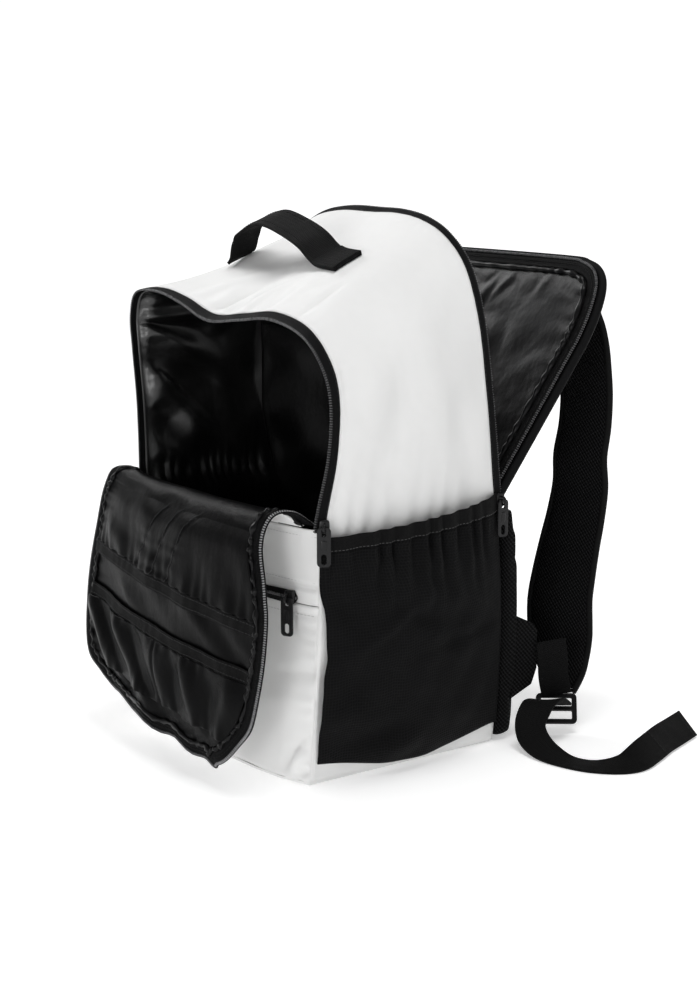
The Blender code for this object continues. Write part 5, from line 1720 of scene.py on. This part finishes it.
def wings_and_locks():
    """The triangular tabs at the lower back corners and the plastic ladder locks."""
    base = BODY_DEPTH / 2 + 3 * GAP + LOWER_BACK_PAD
    tip = base + WING_LENGTH
    outline = np.array([
        (base - WING_SEAM, WING_LOW),
        (tip - 0.25 * WING_LENGTH, WING_LOW + 0.12 * WING_HEIGHT),
        (tip, WING_LOW + 0.30 * WING_HEIGHT),
        (tip, WING_LOW + 0.74 * WING_HEIGHT),
        (tip - 0.20 * WING_LENGTH, WING_LOW + 0.84 * WING_HEIGHT),
        (base - WING_SEAM, WING_LOW + WING_HEIGHT),
    ])
    place = ARCH_ROWS[-2, 3] * BODY_WIDTH / 2 - WING_THICKNESS / 2
    slot_length = (LOCK_LENGTH - 3 * LOCK_BAR) / 2
    slot_width = LOCK_WIDTH - 2 * LOCK_BAR
    step = (slot_length + LOCK_BAR) / 2
    loops = [
        rounded_box(LOCK_WIDTH, LOCK_LENGTH, 0.004),
        rounded_box(slot_width, slot_length, 0.001, step),
        rounded_box(slot_width, slot_length, 0.001, -step),
    ]
    across = across_from(LOCK_HEADING, 0.0)
    front = np.array([across[1], -across[0], 0.0])
    tilt = math.radians(LOCK_TILT)
    up = np.array([0, 0, 1.0]) * math.cos(tilt) - front * math.sin(tilt)
    out = np.cross(across, up)
    centre = np.array(LOCK_PLACE) * np.array([BODY_WIDTH / 2, BODY_DEPTH / 2, HINGE_HEIGHT])
    lock_frame = Matrix(np.column_stack([across, up, out, centre]).tolist()).to_4x4()
    for side, turn in (("right", 1), ("left", -1)):
        x = place * turn
        stand = Matrix(((0, 0, 1, x), (1, 0, 0, 0), (0, 1, 0, 0), (0, 0, 0, 1)))
        plate("wing_pad_" + side, [outline], WING_THICKNESS, 0.0022, stand, "mesh", "wing_" + side)
        name = "ladder_lock_" + side
        lock = plate("lock_" + side, loops, LOCK_THICKNESS, 0.0009, lock_frame, "plastic", name)
        if turn < 0:
            lock.data.transform(Matrix.Diagonal((-1, 1, 1, 1)))
            lock.data.flip_normals()


# Sliders

def superbox(size, centre, power=0.35, rows=25, columns=40):
    """A rounded block: a ball whose sines and cosines are raised to a small power."""
    lift = np.linspace(-math.pi / 2, math.pi / 2, rows)[:, None]
    turn = np.linspace(0, 2 * math.pi, columns, endpoint=False)[None, :]

    def shaped(value):
        """The value raised to the power, with its sign kept."""
        return np.sign(value) * np.abs(value) ** power

    points = np.stack([
        shaped(np.cos(lift)) * shaped(np.cos(turn)),
        shaped(np.cos(lift)) * shaped(np.sin(turn)),
        shaped(np.sin(lift)) * np.ones_like(turn),
    ], axis=-1)
    return (points * np.asarray(size) / 2 + np.asarray(centre))[1:-1]


def moved(points, matrix):
    """Points carried by a matrix."""
    matrix = np.array(matrix)
    return points @ matrix[:3, :3].T + matrix[:3, 3]


def zip_slider(name, position, heading):
    """A slider with its bridge, and the puller that hangs in it and rides on its own body."""
    place = Matrix.Translation(position) @ Matrix.Rotation(math.radians(heading), 4, "Z")
    half = SLIDER_THICKNESS / 2
    core = superbox((SLIDER_THICKNESS, SLIDER_WIDTH, SLIDER_LENGTH), (half, 0, 0), 0.45)
    waist = 1 - 0.28 * smooth(-core[..., 2] / (SLIDER_LENGTH / 2))
    core[..., 1] *= waist
    surface(name + "_slider_body", moved(core, place), "metal", name + "_slider", ring=True)
    crown = SLIDER_THICKNESS + PIVOT_HEIGHT
    turns = np.linspace(0, math.pi, 25)
    arc = np.column_stack([crown + BRIDGE_RADIUS * np.sin(turns), 0 * turns, BRIDGE_RADIUS * np.cos(turns)])
    feet = np.array([[half, 0, BRIDGE_RADIUS]])
    path = np.vstack([feet, arc, feet * np.array([1, 1, -1])])
    hint = tuple(np.array(place.to_3x3() @ Vector((0, 1, 0))))
    tube(name + "_slider_bridge", moved(path, place), BRIDGE_WIRE, "metal", 12, hint=hint)
    top = PULLER_BAR / 2
    middle = -PULLER_BAR / 2 - PULLER_SLOT_LENGTH / 2
    hole = top - PULLER_LENGTH + PULLER_RIM + PULLER_HOLE_LENGTH / 2
    loops = [
        rounded_box(PULLER_WIDTH, PULLER_LENGTH, PULLER_WIDTH * 0.30, top - PULLER_LENGTH / 2, 10),
        rounded_box(PULLER_SLOT_WIDTH, PULLER_SLOT_LENGTH, PULLER_SLOT_WIDTH * 0.3, middle, 6),
        rounded_box(PULLER_HOLE_WIDTH, PULLER_HOLE_LENGTH, PULLER_HOLE_WIDTH * 0.48, hole, 8),
    ]
    upright = Matrix(((0, 0, 1, 0), (1, 0, 0, 0), (0, 1, 0, 0), (0, 0, 0, 1)))
    hang = place @ Matrix.Translation((crown, 0, 0)) @ upright
    body = name + "_pull"
    node = name + "_puller"
    plate(node + "_plate", loops, PULLER_THICKNESS, 0.0005, hang, "metal", node, body)
    grip = superbox((PULLER_THICKNESS + 0.0008, 0.0048, 0.0085), (crown, 0, -0.0128), 0.4, 17, 28)
    surface(node + "_grip", moved(grip, place), "metal", body=body, ring=True)


def zip_sliders():
    """The three sliders that show."""
    front = skin(HINGE_RIGHT, 0.0)
    rear = skin(HINGE_RIGHT, 1.0)
    zip_slider("front", (front[0] + FRONT_SLIDER_OUT, front[1] - FRONT_SLIDER_OUT, front[2]), -40.0)
    zip_slider("rear", (rear[0] + CLOTH, rear[1] + TAPE_WIDTH / 2, rear[2]), 0.0)
    wall = front_wall(np.array([POCKET_ZIP_HEIGHT]), np.linspace(-1, 1, 3) * POCKET_SLIDER_SHARE)[2, 0]
    out = CLOTH + TAPE_THICKNESS + 3 * GAP + SLIDER_WIDTH * POCKET_SLIDER_LIFT
    zip_slider("pocket", (wall[0], wall[1] - out, wall[2] + GAP), -66.0)


# Stage

def studio():
    """The camera at the photograph's angle, a pale floor, and soft light from above."""
    scene = bpy.context.scene
    data = bpy.data.cameras.new("camera")
    data.sensor_width = SENSOR
    data.lens = LENS
    camera = bpy.data.objects.new("camera", data)
    scene.collection.objects.link(camera)
    target = Vector(CAMERA_AIM)
    turn = math.radians(CAMERA_TURN)
    tilt = math.radians(CAMERA_TILT)
    back = Vector((math.sin(turn) * math.cos(tilt), -math.cos(turn) * math.cos(tilt), math.sin(tilt)))
    camera.location = target + back * CAMERA_REACH
    camera.rotation_mode = "QUATERNION"
    camera.rotation_quaternion = (-back).to_track_quat("-Z", "Y")
    scene.camera = camera
    floor = bpy.data.meshes.new("floor")
    floor.from_pydata([(-20, -20, 0), (20, -20, 0), (20, 20, 0), (-20, 20, 0)], [], [(0, 1, 2, 3)])
    made = bpy.data.objects.new("floor", floor)
    scene.collection.objects.link(made)
    light = sizes().floor_light
    paper = Finish("studio_paper", Roughness=0.9, Specular_IOR_Level=0.1, Emission_Strength=light)
    x, y = paper.object_place()[:2]
    far = ((x * x + y * y).power(0.5) * 0.5 - 0.3).top(0.0).bottom(1.0)
    glow = {0: far, 6: (*FLOOR_NEAR, 1.0), 7: (*FLOOR_FAR, 1.0)}
    glow = paper.node("ShaderNodeMix", {"data_type": "RGBA"}, glow, 2)
    feed(paper.tree, paper.shader.inputs["Emission Color"], glow)
    paper.colour((0.95, 0.95, 0.95), (0.96, 0.96, 0.96), paper.noise(0.5))
    floor.materials.append(paper.material)
    world = bpy.data.worlds.new("studio")
    world.use_nodes = True
    tree = world.node_tree
    place = tree.nodes.new("ShaderNodeTexCoord")
    parts = tree.nodes.new("ShaderNodeSeparateXYZ")
    tree.links.new(place.outputs["Generated"], parts.inputs[0])
    rise = Field(tree, parts.outputs[2]).size()
    band = ((1.0 - (rise * 5.0).bottom(1.0)) * 3.0).bottom(1.0)
    strength = sizes().world_light + (HORIZON_LIGHT - sizes().world_light) * band
    feed(tree, tree.nodes["Background"].inputs["Strength"], strength)
    tree.nodes["Background"].inputs["Color"].default_value = (1.0, 1.0, 1.0, 1.0)
    scene.world = world
    for name, place, size, power in (
        ("key", (-1.6, -0.15, 1.35), 0.8, sizes().key_light),
        ("top", (0.3, 0.1, 2.2), 1.0, sizes().top_light),
        ("front", (0.95, -1.7, 0.4), 0.7, sizes().front_light),
    ):
        light = bpy.data.lights.new(name, "AREA")
        light.shape = "DISK"
        light.size = size
        light.energy = power
        lamp = bpy.data.objects.new(name, light)
        lamp.location = place
        lamp.rotation_mode = "QUATERNION"
        lamp.rotation_quaternion = (Vector(LAMP_AIM) - Vector(place)).to_track_quat("-Z", "Y")
        scene.collection.objects.link(lamp)
    scene.view_settings.view_transform = "Standard"


# Add-on

class BackpackSizes(bpy.types.PropertyGroup):
    """The sizes and colours that a user would change."""

    tooth_pitch: FloatProperty(
        name="Tooth pitch", description="Distance between zip teeth", default=0.0019, unit="LENGTH"
    )
    weave_pitch: FloatProperty(
        name="Weave pitch", description="Distance between the white cloth's threads", default=0.0007,
        unit="LENGTH",
    )
    mesh_pitch: FloatProperty(
        name="Mesh pitch", description="Distance between rows of the padded mesh", default=0.0030,
        unit="LENGTH",
    )
    white_slack: FloatProperty(
        name="White slack", description="How far the white cloth stands in and out", default=0.0008,
        unit="LENGTH",
    )
    flap_ruffle: FloatProperty(
        name="Flap ruffle", description="How far the flap's free edge waves", default=0.0026, unit="LENGTH"
    )
    gather_depth: FloatProperty(
        name="Gather depth", description="Depth of the side pockets' gathers", default=0.0030, unit="LENGTH"
    )
    world_light: FloatProperty(name="Room light", description="Strength of the even light", default=0.29)
    floor_light: FloatProperty(name="Floor light", description="Strength of the light floor", default=0.62)
    key_light: FloatProperty(
        name="Key light", description="Power of the lamp at the upper left", default=14.0,
        unit="POWER",
    )
    top_light: FloatProperty(
        name="Top light", description="Power of the lamp above", default=20.5, unit="POWER"
    )
    front_light: FloatProperty(
        name="Front light", description="Power of the lamp in front", default=7.5, unit="POWER"
    )
    white_colour: FloatVectorProperty(
        name="White", description="Colour of the white cloth", default=(0.845, 0.845, 0.84), subtype="COLOR"
    )
    satin_colour: FloatVectorProperty(
        name="Satin", description="Colour of the lining", default=(0.0040, 0.0040, 0.0043), subtype="COLOR"
    )
    mesh_colour: FloatVectorProperty(
        name="Mesh", description="Colour of the pockets and padding", default=(0.0045, 0.0045, 0.0047),
        subtype="COLOR",
    )
    webbing_colour: FloatVectorProperty(
        name="Webbing", description="Colour of the straps", default=(0.0048, 0.0048, 0.0049),
        subtype="COLOR",
    )
    tape_colour: FloatVectorProperty(
        name="Zip tape", description="Colour of the zip tapes", default=(0.0050, 0.0050, 0.0053),
        subtype="COLOR",
    )


class BACKPACK_OT_studio(bpy.types.Operator):
    """Make the camera, floor and lights."""

    bl_idname = "backpack.studio"
    bl_label = "Studio"

    def execute(self, context):
        studio()
        return {"FINISHED"}


class BACKPACK_OT_front(bpy.types.Operator):
    """Make the underside and the lower front with its pocket zip."""

    bl_idname = "backpack.front"
    bl_label = "Lower front"

    def execute(self, context):
        base_and_front()
        return {"FINISHED"}


class BACKPACK_OT_body(bpy.types.Operator):
    """Make the white band, its lining, the divider and the zips round both openings."""

    bl_idname = "backpack.body"
    bl_label = "Body"

    def execute(self, context):
        gusset_cloth()
        lining_cloth()
        divider_cloth()
        body_zips()
        return {"FINISHED"}


class BACKPACK_OT_flap(bpy.types.Operator):
    """Make the folded-down flap with its organiser pockets."""

    bl_idname = "backpack.flap"
    bl_label = "Front flap"

    def execute(self, context):
        flap_cloth()
        flap_pockets()
        return {"FINISHED"}


class BACKPACK_OT_rear(bpy.types.Operator):
    """Make the leaning rear panel and the padded lower back."""

    bl_idname = "backpack.rear"
    bl_label = "Rear panel"

    def execute(self, context):
        rear_cloth()
        lower_back()
        return {"FINISHED"}


class BACKPACK_OT_pockets(bpy.types.Operator):
    """Make the gathered side pockets."""

    bl_idname = "backpack.pockets"
    bl_label = "Side pockets"

    def execute(self, context):
        side_pockets()
        return {"FINISHED"}


class BACKPACK_OT_straps(bpy.types.Operator):
    """Make the handle, shoulder straps, webbing, tabs and locks."""

    bl_idname = "backpack.straps"
    bl_label = "Straps"

    def execute(self, context):
        handle_webbing()
        shoulder_straps()
        loose_webbing()
        wings_and_locks()
        return {"FINISHED"}


class BACKPACK_OT_sliders(bpy.types.Operator):
    """Make the zip sliders and their pullers."""

    bl_idname = "backpack.sliders"
    bl_label = "Zip sliders"

    def execute(self, context):
        zip_sliders()
        return {"FINISHED"}


OPERATORS = (
    BACKPACK_OT_studio,
    BACKPACK_OT_front,
    BACKPACK_OT_body,
    BACKPACK_OT_flap,
    BACKPACK_OT_rear,
    BACKPACK_OT_pockets,
    BACKPACK_OT_straps,
    BACKPACK_OT_sliders,
)


class BACKPACK_PT_panel(bpy.types.Panel):
    """The backpack's pieces in the sidebar."""

    bl_idname = "BACKPACK_PT_panel"
    bl_label = "School backpack"
    bl_space_type = "VIEW_3D"
    bl_region_type = "UI"
    bl_category = "Backpack"

    def draw(self, context):
        for kind in OPERATORS:
            self.layout.operator(kind.bl_idname)
        for name in BackpackSizes.__annotations__:
            self.layout.prop(context.scene.backpack, name)


CLASSES = (BackpackSizes, *OPERATORS, BACKPACK_PT_panel)


def register():
    """Add the classes and the scene's sizes."""
    for kind in CLASSES:
        bpy.utils.register_class(kind)
    bpy.types.Scene.backpack = PointerProperty(type=BackpackSizes)


def unregister():
    """Remove the scene's sizes and the classes."""
    del bpy.types.Scene.backpack
    for kind in reversed(CLASSES):
        bpy.utils.unregister_class(kind)


def main():
    """Make everything in order."""
    register()
    bpy.ops.backpack.studio()
    bpy.ops.backpack.front()
    bpy.ops.backpack.body()
    bpy.ops.backpack.flap()
    bpy.ops.backpack.rear()
    bpy.ops.backpack.pockets()
    bpy.ops.backpack.straps()
    bpy.ops.backpack.sliders()


if __name__ == "__main__":
    main()
